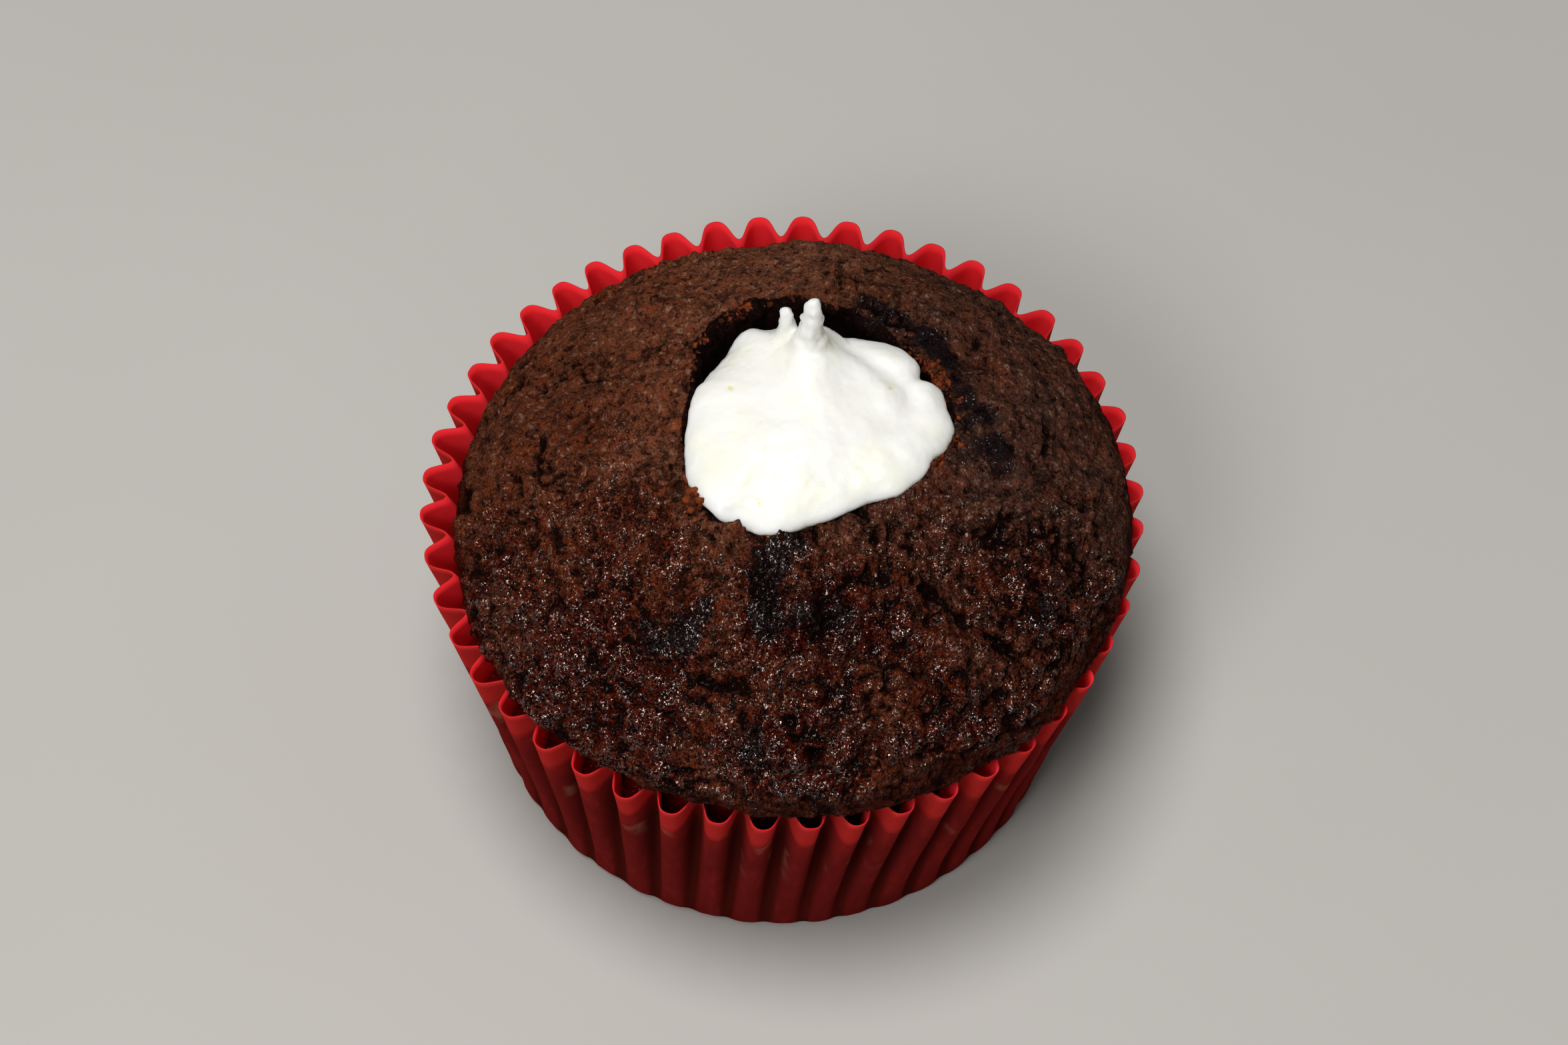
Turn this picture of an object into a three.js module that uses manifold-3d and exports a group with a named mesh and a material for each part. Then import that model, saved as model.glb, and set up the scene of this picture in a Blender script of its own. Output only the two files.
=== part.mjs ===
// A filled chocolate cupcake: a pleated paper case, a domed cake with a hole cut in its top, and a dollop of
// cream in the hole. Units are millimetres and +Z is up. The origin is the middle of the case's flat base,
// -Y is the front of the cupcake, and angles run from the front towards +X.
import * as THREE from "three";
import Module from "manifold-3d";
import { mergeVertices } from "three/addons/utils/BufferGeometryUtils.js";

const { clamp, degToRad, lerp, smoothstep } = THREE.MathUtils;

// Paper case
const RIM_RADIUS = 34; // to the outer tips of the pleats
const CASE_HEIGHT = 31.6;
const BASE_FLAT_RADIUS = 27.4;
const FOOT_RADIUS = 28.7; // where the rounded corner of the base meets the wall
const FOOT_HEIGHT = 1.3;
const WALL_FLARE = 1.1; // power of the height: over 1, the wall leans out more towards the rim
const WALL_ROWS = [0.45, 0.9, 1]; // shares of the way up
const RIM_FLARE = { depth: 0.85, reach: 3.4, power: 1.4 }; // here the folds bend outwards up to the rim
const PLEATS = 48;
const PLEAT_STEEPNESS = 0.9; // together these two make wide round tips and narrow folds
const PLEAT_FULLNESS = 0.9;
const PLEAT_DEPTH_AT_RIM = 3.25;
const PLEAT_DEPTH_AT_FOOT = 0.4;
const PLEAT_FADE = 0.8; // power of the height by which the pleats deepen
const FIRST_PLEAT = degToRad(6.4); // angle of the first outer tip
const PLEAT_SWIRL = degToRad(-2.8); // turn of the pleats from the rim down to the base
const PLEAT_DRIFT = degToRad(0.45); // uneven spacing of the pleats
const POINTS_PER_PLEAT = 6;
const RIM_OVAL = 0.24;
const RIM_LOBES = 0.18;
const WALL_PAPER = 0.4; // measured along the radius, so the steep flanks of a pleat are thinner
const BASE_PAPER = 0.3;

// Clearance between neighbouring pieces
const GAP = 0.35;

// Cake
const CAKE_MIDDLE = { x: 0.55, y: -2.6 };
const EDGE_RADII = { x: 32.1, y: 30.5 }; // of the edge, the widest ring of the cake
const CAKE_RADIUS = 31.5; // between the two, for the shares of the way from the middle of the dome to its edge
const EDGE_BULGES = [
  { angle: degToRad(132), spread: 0.35, reach: 0.65 },
  { angle: degToRad(-148), spread: 0.4, reach: -0.8 },
  { angle: degToRad(60), spread: 0.28, reach: -0.5 },
];
const EDGE_HEIGHT = CASE_HEIGHT + 1.2;
const SUNK_SIDE = { angle: degToRad(-112), spread: 0.65, depth: 3 }; // here the edge sits inside the case
const DOME_RISE = 14.3; // from the edge up to where the top would be with no hole
const DOME_ROUNDNESS = 0.588; // power that makes the edge steep and the top flat
const DOME_COLUMNS = 96;
const DOME_ROWS = 13;
const ROW_CROWDING = 1.45; // power that gathers the rows near the edge
const LUMP_HEIGHT = 0.16;
const LUMP_LENGTH = 15; // of the longest of the waves that make the crust uneven
const LUMP_WAVES = 8;

// Hole in the cake
const HOLE_MIDDLE = { x: 2.5, y: 1.4 };
const HOLE_RADIUS = 12.1;
const HOLE_BULGES = [
  { angle: degToRad(-36), spread: 0.32, reach: 2.3 },
  { angle: degToRad(27), spread: 0.35, reach: -1.4 },
  { angle: degToRad(-150), spread: 0.49, reach: 1.3 },
  { angle: degToRad(148), spread: 0.35, reach: -1.4 },
];
const HOLE_DEPTH = 17;
const HOLE_FLOOR_RADIUS = 8.4;
const HOLE_LIP = 0.5; // rounding of the cut edge
const CUT_HEIGHT = domeHeight(HOLE_RADIUS / CAKE_RADIUS, EDGE_HEIGHT);

// Cream
const CREAM_COLUMNS = 64;
const CREAM_ROWS = 9;
const CREAM_TOP = CUT_HEIGHT + 3.2;
const CREAM_RADIUS = 13.2;
const CREAM_BULGES = [
  { angle: degToRad(-35), spread: 0.33, reach: 2 },
  { angle: degToRad(27), spread: 0.44, reach: -2 },
  { angle: degToRad(-175), spread: 1, reach: -4.7 },
  { angle: degToRad(-147), spread: 0.16, reach: 2.2 },
];
const CREAM_DROP = 0.5; // of the mound's edge, for each millimetre that it stops short of the wall
const CREAM_ROUNDNESS = 0.6;
const CREAM_RIDGE = { x: 1.6, y: 4.4, height: 1.3, width: 2.6, length: 4.2 }; // up to the foot of the tall peak
const PEAK_SIDES = 12;
const PEAK_ROWS = 7;
const TALL_PEAK = { x: 1.6, y: 6.3, base: CREAM_TOP - 1.8, height: 7.8, lean: 0.7, tip: 0.86, slope: 0.8, flare: 2.9 };
const SHORT_PEAK = { x: -0.75, y: 8.3, base: CREAM_TOP - 3, height: 5.3, lean: 0.4, tip: 0.6, slope: 0.4, flare: 1.4 };

const wasm = await Module();
wasm.setup();

// ---------------------------------------------------------------------------------------------- helpers

// A point at an angle and a distance from an upright axis through the middle.
function polar(angle, radius, z, middle = { x: 0, y: 0 }) {
  return { x: middle.x + Math.sin(angle) * radius, y: middle.y - Math.cos(angle) * radius, z };
}

function mix(from, to, share) {
  return { x: lerp(from.x, to.x, share), y: lerp(from.y, to.y, share), z: lerp(from.z, to.z, share) };
}

// 1 at the angle of a feature, falling to 0 within a few spreads on both sides of it.
function nearness(angle, feature) {
  const away = Math.atan2(Math.sin(angle - feature.angle), Math.cos(angle - feature.angle));
  return Math.exp(-0.5 * (away / feature.spread) ** 2);
}

// How far a list of bulges moves an outline outwards at an angle.
function bulge(angle, features) {
  return features.reduce((sum, feature) => sum + feature.reach * nearness(angle, feature), 0);
}

// A closed surface through rings, listed from the middle of the underside outwards and up. A ring gives its
// point at an angle; the first and the last ring are single points.
function turned(rings, columns) {
  const profile = rings.map((_, row) => new THREE.Vector2(1, row));
  const lathe = new THREE.LatheGeometry(profile, columns);
  const position = lathe.getAttribute("position");
  for (let column = 0; column <= columns; column++) {
    const angle = ((column % columns) / columns) * 2 * Math.PI;
    rings.forEach((ring, row) => {
      const { x, y, z } = ring(angle);
      position.setXYZ(column * rings.length + row, x, y, z);
    });
  }
  return joined(lathe);
}

// Joins the seam and the poles, and drops the triangles that have no area there.
function joined(geometry) {
  geometry.deleteAttribute("normal");
  geometry.deleteAttribute("uv");
  const merged = mergeVertices(geometry, 1e-4);
  const kept = [];
  for (let i = 0; i < merged.index.count; i += 3) {
    const corners = [0, 1, 2].map((corner) => merged.index.getX(i + corner));
    if (new Set(corners).size === 3) kept.push(...corners);
  }
  merged.setIndex(kept);
  return merged;
}

function solidOf(geometry) {
  const mesh = new wasm.Mesh({
    numProp: 3,
    vertProperties: geometry.getAttribute("position").array,
    triVerts: new Uint32Array(geometry.index.array),
  });
  return new wasm.Manifold(mesh);
}

function geometryOf(solid) {
  const { vertProperties, triVerts } = solid.getMesh();
  const geometry = new THREE.BufferGeometry();
  geometry.setAttribute("position", new THREE.BufferAttribute(vertProperties, 3));
  geometry.setIndex(new THREE.BufferAttribute(triVerts, 1));
  return geometry;
}

// ------------------------------------------------------------------------------------------- paper case

// How far up the wall a height is, from 0 at its foot to 1 at the rim.
function wallShare(height) {
  return Math.max(0, (height - FOOT_HEIGHT) / (CASE_HEIGHT - FOOT_HEIGHT));
}

function tipRadius(height, angle) {
  const share = wallShare(height);
  const oval = RIM_OVAL * Math.sin(2 * angle + 0.33);
  const lobes = RIM_LOBES * Math.sin(3 * angle + 0.49);
  return lerp(FOOT_RADIUS, RIM_RADIUS, share ** WALL_FLARE) + share * (lobes - oval);
}

function pleatDepth(height) {
  const full = lerp(PLEAT_DEPTH_AT_FOOT, PLEAT_DEPTH_AT_RIM, wallShare(height) ** PLEAT_FADE);
  const flare = clamp(1 - (CASE_HEIGHT - height) / RIM_FLARE.reach, 0, 1) ** RIM_FLARE.power;
  return full - RIM_FLARE.depth * flare;
}

function foldRadius(height, angle) {
  return tipRadius(height, angle) - pleatDepth(height);
}

// The section of a pleat: 1 at its tip and 0 at the folds on both sides of it.
function arch(turn) {
  const section = (wave) => Math.tanh(PLEAT_STEEPNESS * (wave + PLEAT_FULLNESS));
  return (section(Math.cos(PLEATS * turn)) - section(-1)) / (section(1) - section(-1));
}

// One point of the wall.
function wallPoint(height, turn, inset) {
  const drift = PLEAT_DRIFT * (Math.cos(2 * turn) - Math.sin(3 * turn + 0.4));
  const swirl = PLEAT_SWIRL * (1 - height / CASE_HEIGHT);
  const angle = FIRST_PLEAT + turn + drift + swirl;
  return polar(angle, foldRadius(height, angle) + pleatDepth(height) * arch(turn) - inset, height);
}

// The rounded corner between the flat base, at share 0, and the wall, at share 1.
function cornerPoint(share, turn, inset) {
  const foot = wallPoint(FOOT_HEIGHT, turn, inset);
  const footRadius = Math.hypot(foot.x, foot.y);
  const radius = lerp(BASE_FLAT_RADIUS, footRadius, Math.sin((share * Math.PI) / 2));
  const lowest = inset > 0 ? BASE_PAPER : 0;
  const height = lerp(FOOT_HEIGHT, lowest, Math.cos((share * Math.PI) / 2));
  return { x: (foot.x * radius) / footRadius, y: (foot.y * radius) / footRadius, z: height };
}

function caseSide(inset) {
  const corner = [0, 0.5, 1].map((share) => (turn) => cornerPoint(share, turn, inset));
  const wall = WALL_ROWS.map((share) => {
    const height = lerp(FOOT_HEIGHT, CASE_HEIGHT, share);
    return (turn) => wallPoint(height, turn, inset);
  });
  return [...corner, ...wall];
}

function paperCase() {
  const rings = [
    () => ({ x: 0, y: 0, z: 0 }),
    ...caseSide(0),
    ...caseSide(WALL_PAPER).reverse(),
    () => ({ x: 0, y: 0, z: BASE_PAPER }),
  ];
  return turned(rings, PLEATS * POINTS_PER_PLEAT);
}

// ------------------------------------------------------------------------------------------------- cake

// Uneven crust: waves in directions a golden angle apart, each a little shorter and lower than the last.
function lumps(x, y) {
  let height = 0;
  for (let wave = 0; wave < LUMP_WAVES; wave++) {
    const along = x * Math.cos(2.4 * wave) + y * Math.sin(2.4 * wave);
    const number = ((2 * Math.PI) / LUMP_LENGTH) * 1.18 ** wave;
    height += Math.sin(number * along + 1.7 * wave) / 1.1 ** wave;
  }
  return LUMP_HEIGHT * height;
}

// The height of the smooth dome at a share of the way from its middle to its edge.
function domeHeight(share, edgeHeight) {
  const rise = Math.max(0, 1 - share ** 2) ** DOME_ROUNDNESS;
  return lerp(edgeHeight, EDGE_HEIGHT + DOME_RISE, rise);
}

// Inside the case, a gap away from its folds.
function sidePoint(height, angle) {
  return polar(angle, foldRadius(height, angle) - WALL_PAPER - GAP, height);
}

// The edge hangs over the folds of the case, but on the sunk side it sits inside them.
function edgePoint(angle) {
  const sunk = nearness(angle, SUNK_SIDE);
  const out = bulge(angle, EDGE_BULGES);
  const x = CAKE_MIDDLE.x + Math.sin(angle) * (EDGE_RADII.x + out);
  const y = CAKE_MIDDLE.y - Math.cos(angle) * (EDGE_RADII.y + out);
  const inside = sidePoint(EDGE_HEIGHT - SUNK_SIDE.depth, Math.atan2(x, -y));
  return { ...mix({ x, y, z: 0 }, inside, sunk), z: EDGE_HEIGHT - SUNK_SIDE.depth * sunk };
}

// The rings of the dome are drawn round the hole near the middle and round the cake at the edge.
function domePoint(share, angle) {
  const edge = edgePoint(angle);
  const roundHole = polar(angle, share * CAKE_RADIUS, 0, HOLE_MIDDLE);
  const roundCake = mix(HOLE_MIDDLE, edge, share);
  const { x, y } = mix(roundHole, roundCake, smoothstep(share, HOLE_RADIUS / CAKE_RADIUS, 1));
  const uneven = lumps(x, y) * smoothstep(1 - share, 0, 0.1);
  return { x, y, z: domeHeight(share, edge.z) + uneven };
}

function holeRadius(angle) {
  const waves = 0.22 * Math.sin(5 * angle + 0.6) + 0.14 * Math.sin(9 * angle + 2);
  return HOLE_RADIUS + bulge(angle, HOLE_BULGES) + waves;
}

// The wall of the hole, from share 0 just under the cut edge down to share 1 at the floor.
function holeWallRadius(share, angle) {
  return lerp(holeRadius(angle) - HOLE_LIP, HOLE_FLOOR_RADIUS, share);
}

function holeWallPoint(share, angle) {
  const top = cutEdgeHeight(angle) - HOLE_LIP;
  const floor = CUT_HEIGHT - HOLE_DEPTH;
  return polar(angle, holeWallRadius(share, angle), lerp(top, floor, share), HOLE_MIDDLE);
}

function cutEdgeHeight(angle) {
  return domePoint(holeRadius(angle) / CAKE_RADIUS, angle).z;
}

function cake() {
  const floor = BASE_PAPER + GAP;
  const dome = Array.from({ length: DOME_ROWS + 1 }, (_, row) => (angle) => {
    const inwards = (row / DOME_ROWS) ** ROW_CROWDING;
    return domePoint(lerp(1, holeRadius(angle) / CAKE_RADIUS, inwards), angle);
  });
  const underside = (share) => (angle) => {
    const edge = edgePoint(angle);
    const neck = sidePoint(CASE_HEIGHT - RIM_FLARE.reach, Math.atan2(edge.x, -edge.y));
    return { ...mix(neck, edge, share), z: Math.min(CASE_HEIGHT + GAP, edge.z - 0.4) };
  };
  const side = (height) => (angle) => {
    const edge = edgePoint(angle);
    return sidePoint(height, Math.atan2(edge.x, -edge.y));
  };
  const rings = [
    () => ({ x: 0, y: 0, z: floor }),
    (angle) => polar(angle, BASE_FLAT_RADIUS - 1, floor),
    side(FOOT_HEIGHT + 1),
    side(CASE_HEIGHT / 2),
    side(CASE_HEIGHT - 4.5),
    underside(0),
    underside(0.8),
    ...dome,
    ...[0, 0.15, 0.5, 1].map((share) => (angle) => holeWallPoint(share, angle)),
    () => ({ ...HOLE_MIDDLE, z: CUT_HEIGHT - HOLE_DEPTH }),
  ];
  return turned(rings, DOME_COLUMNS);
}

// ------------------------------------------------------------------------------------------------ cream

// How far the cream stops short of the wall of the hole. At the front it spills over the cut edge instead.
function shortfall(angle) {
  return Math.max(0, holeRadius(angle) - HOLE_LIP - GAP - CREAM_RADIUS - bulge(angle, CREAM_BULGES));
}

function creamEdge(angle) {
  const radius = CREAM_RADIUS + bulge(angle, CREAM_BULGES);
  const height = cutEdgeHeight(angle) + GAP + 0.15 - CREAM_DROP * shortfall(angle);
  return polar(angle, radius, height, HOLE_MIDDLE);
}

// The mound, from share 0 at its middle to share 1 at its edge.
function moundPoint(share, angle) {
  const edge = creamEdge(angle);
  const { x, y } = mix(HOLE_MIDDLE, edge, share);
  const swirl = 0.22 * Math.sin(2 * angle + 5 * share) * Math.sin(Math.PI * share);
  const across = ((x - CREAM_RIDGE.x) / CREAM_RIDGE.width) ** 2;
  const along = ((y - CREAM_RIDGE.y) / CREAM_RIDGE.length) ** 2;
  const ridge = CREAM_RIDGE.height * Math.exp(-across - along) * smoothstep(1 - share, 0, 0.3);
  const rise = Math.max(0, 1 - share ** 2.2) ** CREAM_ROUNDNESS;
  return { x, y, z: lerp(edge.z, CREAM_TOP, rise) + swirl + ridge };
}

// Under the mound the cream fills the hole, a gap away from its wall and its floor.
function neckPoint(angle) {
  const radius = holeRadius(angle) - HOLE_LIP - GAP - shortfall(angle);
  const height = cutEdgeHeight(angle) + GAP - CREAM_DROP * shortfall(angle);
  return polar(angle, radius, height, HOLE_MIDDLE);
}

function plugPoint(share, angle) {
  const wall = holeWallPoint(share, angle);
  const radius = holeWallRadius(share, angle) - GAP * 1.1 - shortfall(angle) * (1 - share);
  return polar(angle, radius, wall.z + GAP * share, HOLE_MIDDLE);
}

// A pulled-up tip: slim, flaring into the mound, and leaning back a little.
function creamPeak(peak) {
  const level = (row) => (angle) => {
    const up = row / PEAK_ROWS;
    const radius = peak.tip + peak.slope * (1 - up) + peak.flare * (1 - up) ** 5;
    const middle = { x: peak.x, y: peak.y + peak.lean * up ** 2 };
    return polar(angle, radius, peak.base + peak.height * up, middle);
  };
  const rings = [
    () => ({ x: peak.x, y: peak.y, z: peak.base }),
    ...Array.from({ length: PEAK_ROWS + 1 }, (_, row) => level(row)),
    () => ({ x: peak.x, y: peak.y + peak.lean, z: peak.base + peak.height + peak.tip / 2 }),
  ];
  return turned(rings, PEAK_SIDES);
}

function cream() {
  const mound = Array.from({ length: CREAM_ROWS }, (_, row) => {
    const share = 1 - (row / CREAM_ROWS) ** 1.5;
    return (angle) => moundPoint(share, angle);
  });
  const rings = [
    () => ({ ...HOLE_MIDDLE, z: CUT_HEIGHT - HOLE_DEPTH + GAP }),
    ...[1, 0.5, 0.1].map((share) => (angle) => plugPoint(share, angle)),
    neckPoint,
    ...mound,
    () => moundPoint(0, 0),
  ];
  const peaks = [TALL_PEAK, SHORT_PEAK].map((peak) => solidOf(creamPeak(peak)));
  return geometryOf(peaks.reduce((sum, peak) => sum.add(peak), solidOf(turned(rings, CREAM_COLUMNS))));
}

// --------------------------------------------------------------------------------------------- assembly

function piece(name, geometry, color, roughness) {
  const material = new THREE.MeshStandardMaterial({ color, roughness, metalness: 0 });
  const mesh = new THREE.Mesh(geometry, material);
  mesh.name = name;
  return mesh;
}

const cupcake = new THREE.Group();
cupcake.add(
  piece("paper_case", paperCase(), 0xb0141a, 0.45),
  piece("cake", cake(), 0x3a1d12, 0.7),
  piece("cream", cream(), 0xf8f6ea, 0.5),
);

export default cupcake;
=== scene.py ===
"""A filled chocolate cupcake in a pleated red paper case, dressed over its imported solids.

Shapes are worked out in millimetres, with +Z up and -Y at the front, and reach Blender in metres. Angles
run from the front towards +X.
"""

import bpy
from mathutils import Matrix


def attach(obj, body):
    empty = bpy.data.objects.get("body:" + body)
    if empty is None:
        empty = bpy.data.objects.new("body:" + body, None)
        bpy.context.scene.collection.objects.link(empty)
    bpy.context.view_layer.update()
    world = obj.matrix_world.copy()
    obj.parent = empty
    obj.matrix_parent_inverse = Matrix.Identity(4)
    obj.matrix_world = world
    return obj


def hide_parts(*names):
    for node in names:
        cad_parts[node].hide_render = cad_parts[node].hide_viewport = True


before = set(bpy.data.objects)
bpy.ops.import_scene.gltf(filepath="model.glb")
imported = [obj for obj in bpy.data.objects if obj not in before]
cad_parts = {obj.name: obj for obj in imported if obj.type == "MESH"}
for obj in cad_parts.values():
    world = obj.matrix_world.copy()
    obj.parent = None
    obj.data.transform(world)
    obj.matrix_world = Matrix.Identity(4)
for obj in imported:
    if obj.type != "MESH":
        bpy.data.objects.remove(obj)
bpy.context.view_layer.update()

import itertools
import logging
import math
from dataclasses import dataclass
from enum import Enum
from typing import NamedTuple

import bpy
import numpy as np
from mathutils import Matrix, Vector

Array = np.ndarray
Number = float | Array
Colour = tuple[float, float, float]
Place = tuple[float, float]
MM = 0.001
FULL_TURN = 2 * math.pi
log = logging.getLogger("cupcake")


class Piece(Enum):
    """The visible pieces, each with the solid that it stands for and its material slot."""

    CASE = ("paper_case_pleated", "paper_case", "paper")
    CAKE = ("cake_crust", "cake", "crust")
    CREAM = ("cream_dollop", "cream", "cream")
    CRUMBS = ("loose_crumbs", "", "crust")

    def __init__(self, label: str, solid: str, slot: str) -> None:
        """Keeps the piece's own name, the solid's name and the slot."""
        self.label, self.solid, self.slot = label, solid, slot


class Bell(NamedTuple):
    """A bell curve round the turn: its centre in degrees, its spread in radians and its height."""

    centre: float
    spread: float
    height: float


class Spot(NamedTuple):
    """A roundish mark seen from above: its place, how far it reaches and how strong it is."""

    x: float
    y: float
    reach: float
    strength: float


class Oval(NamedTuple):
    """An oval swell, hollow or heap seen from above: its place, half its width and length, its height."""

    x: float
    y: float
    width: float
    length: float
    height: float


class Pit(NamedTuple):
    """A pit in the cream: its place, its reach, how much longer than wide it is, and how deep."""

    x: float
    y: float
    reach: float
    stretch: float
    strength: float


class Peak(NamedTuple):
    """A pulled-up tip of the cream.

    It has the place of its foot, the radius at its tip, what the slope and the flare add to that at the
    foot, the height of its foot over the crown of the mound, its own height and how far it leans back.
    """

    x: float
    y: float
    tip: float
    slope: float
    flare: float
    base: float
    height: float
    lean: float


class Lamp(NamedTuple):
    """A round soft light: its place and size in millimetres, its power in watts and its colour."""

    name: str
    place: tuple[float, float, float]
    size: float
    power: float
    colour: Colour


# ------------------------------------------------------------------------------------------ shape helpers


def polar(angle: Number, radius: Number, height: Number, middle: Place = (0.0, 0.0)) -> Array:
    """Points at an angle and a distance from an upright axis.

    Args:
        angle: Angle from the front towards +X.
        radius: Distance from the axis.
        height: Height above the base.
        middle: Where the axis stands.

    Returns:
        x = middle + sin(angle) radius, y = middle - cos(angle) radius, z = height, on a last axis of three.
    """
    x, y, z = np.broadcast_arrays(np.sin(angle) * radius, -np.cos(angle) * radius, height)
    return np.stack([middle[0] + x, middle[1] + y, z], axis=-1)


def round_the_turn(count: int) -> Array:
    """Angles spaced evenly round the turn, from 0."""
    return np.arange(count) / count * FULL_TURN


def lerp(low: Number, high: Number, share: Number) -> Array:
    """The value a share of the way from low to high."""
    return low + (high - low) * share


def ease(value: Number, low: float, high: float) -> Array:
    """0 up to low and 1 from high on, with a smooth S curve, 3 t squared - 2 t cubed, between."""
    share = np.clip((value - low) / (high - low), 0.0, 1.0)
    return share * share * (3 - 2 * share)


def nearness(angle: Number, centre: float, spread: float) -> Array:
    """A bell curve round the turn: exp(-0.5 (away / spread) squared), which is 1 at the centre."""
    away = np.arctan2(np.sin(angle - centre), np.cos(angle - centre))
    return np.exp(-0.5 * (away / spread) ** 2)


def bulges(angle: Number, bells: tuple[Bell, ...]) -> Array:
    """The sum of bells round the turn, such as how far an outline moves outwards."""
    return sum(bell.height * nearness(angle, math.radians(bell.centre), bell.spread) for bell in bells)


class Grain:
    """Seeded random patterns on arrays of points, for every uneven surface."""

    primes = np.array([73856093, 19349663, 83492791])
    mask = 0xFFFFFFFF

    @classmethod
    def number(cls, cell: Array, seed: int) -> Array:
        """A random number for each cell, from its place multiplied by large primes and its bits mixed.

        Args:
            cell: Three whole numbers a cell, on the last axis.
            seed: Number that picks the pattern.

        Returns:
            Numbers from 0 to 1, one a cell.
        """
        mixed = (cell.astype(np.int64) * cls.primes).sum(-1)
        mixed = (mixed + seed * 668265263) & cls.mask
        mixed = ((mixed ^ (mixed >> 15)) * 2246822519) & cls.mask
        mixed = ((mixed ^ (mixed >> 13)) * 3266489917) & cls.mask
        return (mixed ^ (mixed >> 16)).astype(float) / (cls.mask + 1)

    @classmethod
    def soft(cls, points: Array, size: float, seed: int) -> Array:
        """Soft noise: random numbers at the corners of cubes, blended smoothly between.

        Args:
            points: Points in millimetres.
            size: Edge of a cube, and about the size of a feature.
            seed: Number that picks the pattern.

        Returns:
            Numbers from -1 to 1, one a point.
        """
        scaled = points / size
        low = np.floor(scaled)
        share = scaled - low
        share = share * share * (3 - 2 * share)
        total = np.zeros(points.shape[:-1])
        for corner in itertools.product((0, 1), repeat=3):
            weight = np.where(np.array(corner, bool), share, 1 - share).prod(-1)
            total += weight * cls.number(low + np.array(corner), seed)
        return 2 * total - 1

    @classmethod
    def rough(cls, points: Array, size: float, octaves: int, seed: int) -> Array:
        """Soft noise in several sizes, each half as large and half as strong as the one before."""
        layers = [cls.soft(points, size / 2**k, seed + 7 * k) / 2**k for k in range(octaves)]
        return sum(layers) / sum(0.5**k for k in range(octaves))

    @classmethod
    def stir(cls, points: Array, size: float, octaves: int, reach: float, seeds: tuple[int, ...]) -> Array:
        """Points shifted by rough noise, with a seed for each direction, so that outlines turn crooked."""
        return points + reach * np.stack([cls.rough(points, size, octaves, seed) for seed in seeds], axis=-1)


def mesh_object(
    name: str, points: Array, faces: list[Array], marks: dict[str, Array]
) -> bpy.types.Object:
    """A smooth-shaded object from whole arrays.

    Args:
        name: Name of the object and its mesh.
        points: Vertices in millimetres.
        faces: Arrays of vertex numbers, one row a face, with faces of one array alike in corners.
        marks: Numbers kept on the vertices for the materials, by name.

    Returns:
        The object, linked to the scene, at the origin.
    """
    mesh = bpy.data.meshes.new(name)
    corners = np.concatenate([part.ravel() for part in faces])
    sizes = np.concatenate([np.full(len(part), part.shape[1]) for part in faces])
    mesh.vertices.add(len(points))
    mesh.vertices.foreach_set("co", (points * MM).astype(np.float32).ravel())
    mesh.loops.add(len(corners))
    mesh.loops.foreach_set("vertex_index", corners.astype(np.int32))
    mesh.polygons.add(len(sizes))
    mesh.polygons.foreach_set("loop_start", (np.cumsum(sizes) - sizes).astype(np.int32))
    mesh.polygons.foreach_set("use_smooth", np.ones(len(sizes), bool))
    mesh.update(calc_edges=True)
    for key, values in marks.items():
        mark = mesh.attributes.new(key, "FLOAT", "POINT")
        mark.data.foreach_set("value", values.astype(np.float32).ravel())
    made = bpy.data.objects.new(name, mesh)
    bpy.context.scene.collection.objects.link(made)
    return made


def turned_faces(rows: int, columns: int) -> list[Array]:
    """Faces of a closed turned surface: a pole, then rows of points round the turn, then another pole.

    Args:
        rows: Rows of points between the poles, from the underside outwards and up.
        columns: Points in a row.

    Returns:
        The triangles at the poles and the four-sided faces between the rows. The poles are the last points.
    """
    here = np.arange(columns)
    after = (here + 1) % columns
    base = (np.arange(rows - 1) * columns)[:, None]
    quads = np.stack([base + here, base + after, base + columns + after, base + columns + here], axis=-1)
    last = (rows - 1) * columns
    start, end = np.full(columns, rows * columns), np.full(columns, rows * columns + 1)
    lower = np.stack([start, after, here], axis=-1)
    upper = np.stack([end, last + here, last + after], axis=-1)
    return [np.concatenate([lower, upper]), quads.reshape(-1, 4)]


def turned_object(
    name: str, grid: Array, poles: tuple[Array, Array], marks: dict[str, Array]
) -> bpy.types.Object:
    """A closed turned surface from a grid of points.

    Args:
        name: Name of the object.
        grid: Points as rows, columns and three coordinates.
        poles: The points that close the first and the last row.
        marks: Numbers for the grid's points, by name. A pole takes the mean of its row.

    Returns:
        The object.
    """
    points = np.concatenate([grid.reshape(-1, 3), np.array(poles, float)])
    kept = {}
    for key, values in marks.items():
        kept[key] = np.append(values.ravel(), [values[0].mean(), values[-1].mean()])
    return mesh_object(name, points, turned_faces(*grid.shape[:2]), kept)


def grid_normals(grid: Array) -> Array:
    """Outward unit normals: the cross product of the tangents round the turn and up the rows.

    Args:
        grid: Points as rows, columns and three coordinates, closed round its columns.

    Returns:
        A unit normal for each point.
    """
    around = np.roll(grid, -1, axis=1) - np.roll(grid, 1, axis=1)
    upwards = np.gradient(grid, axis=0)
    across = np.cross(around, upwards)
    return across / np.maximum(np.linalg.norm(across, axis=-1, keepdims=True), 1e-9)


# --------------------------------------------------------------------------------------- material helpers


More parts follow.
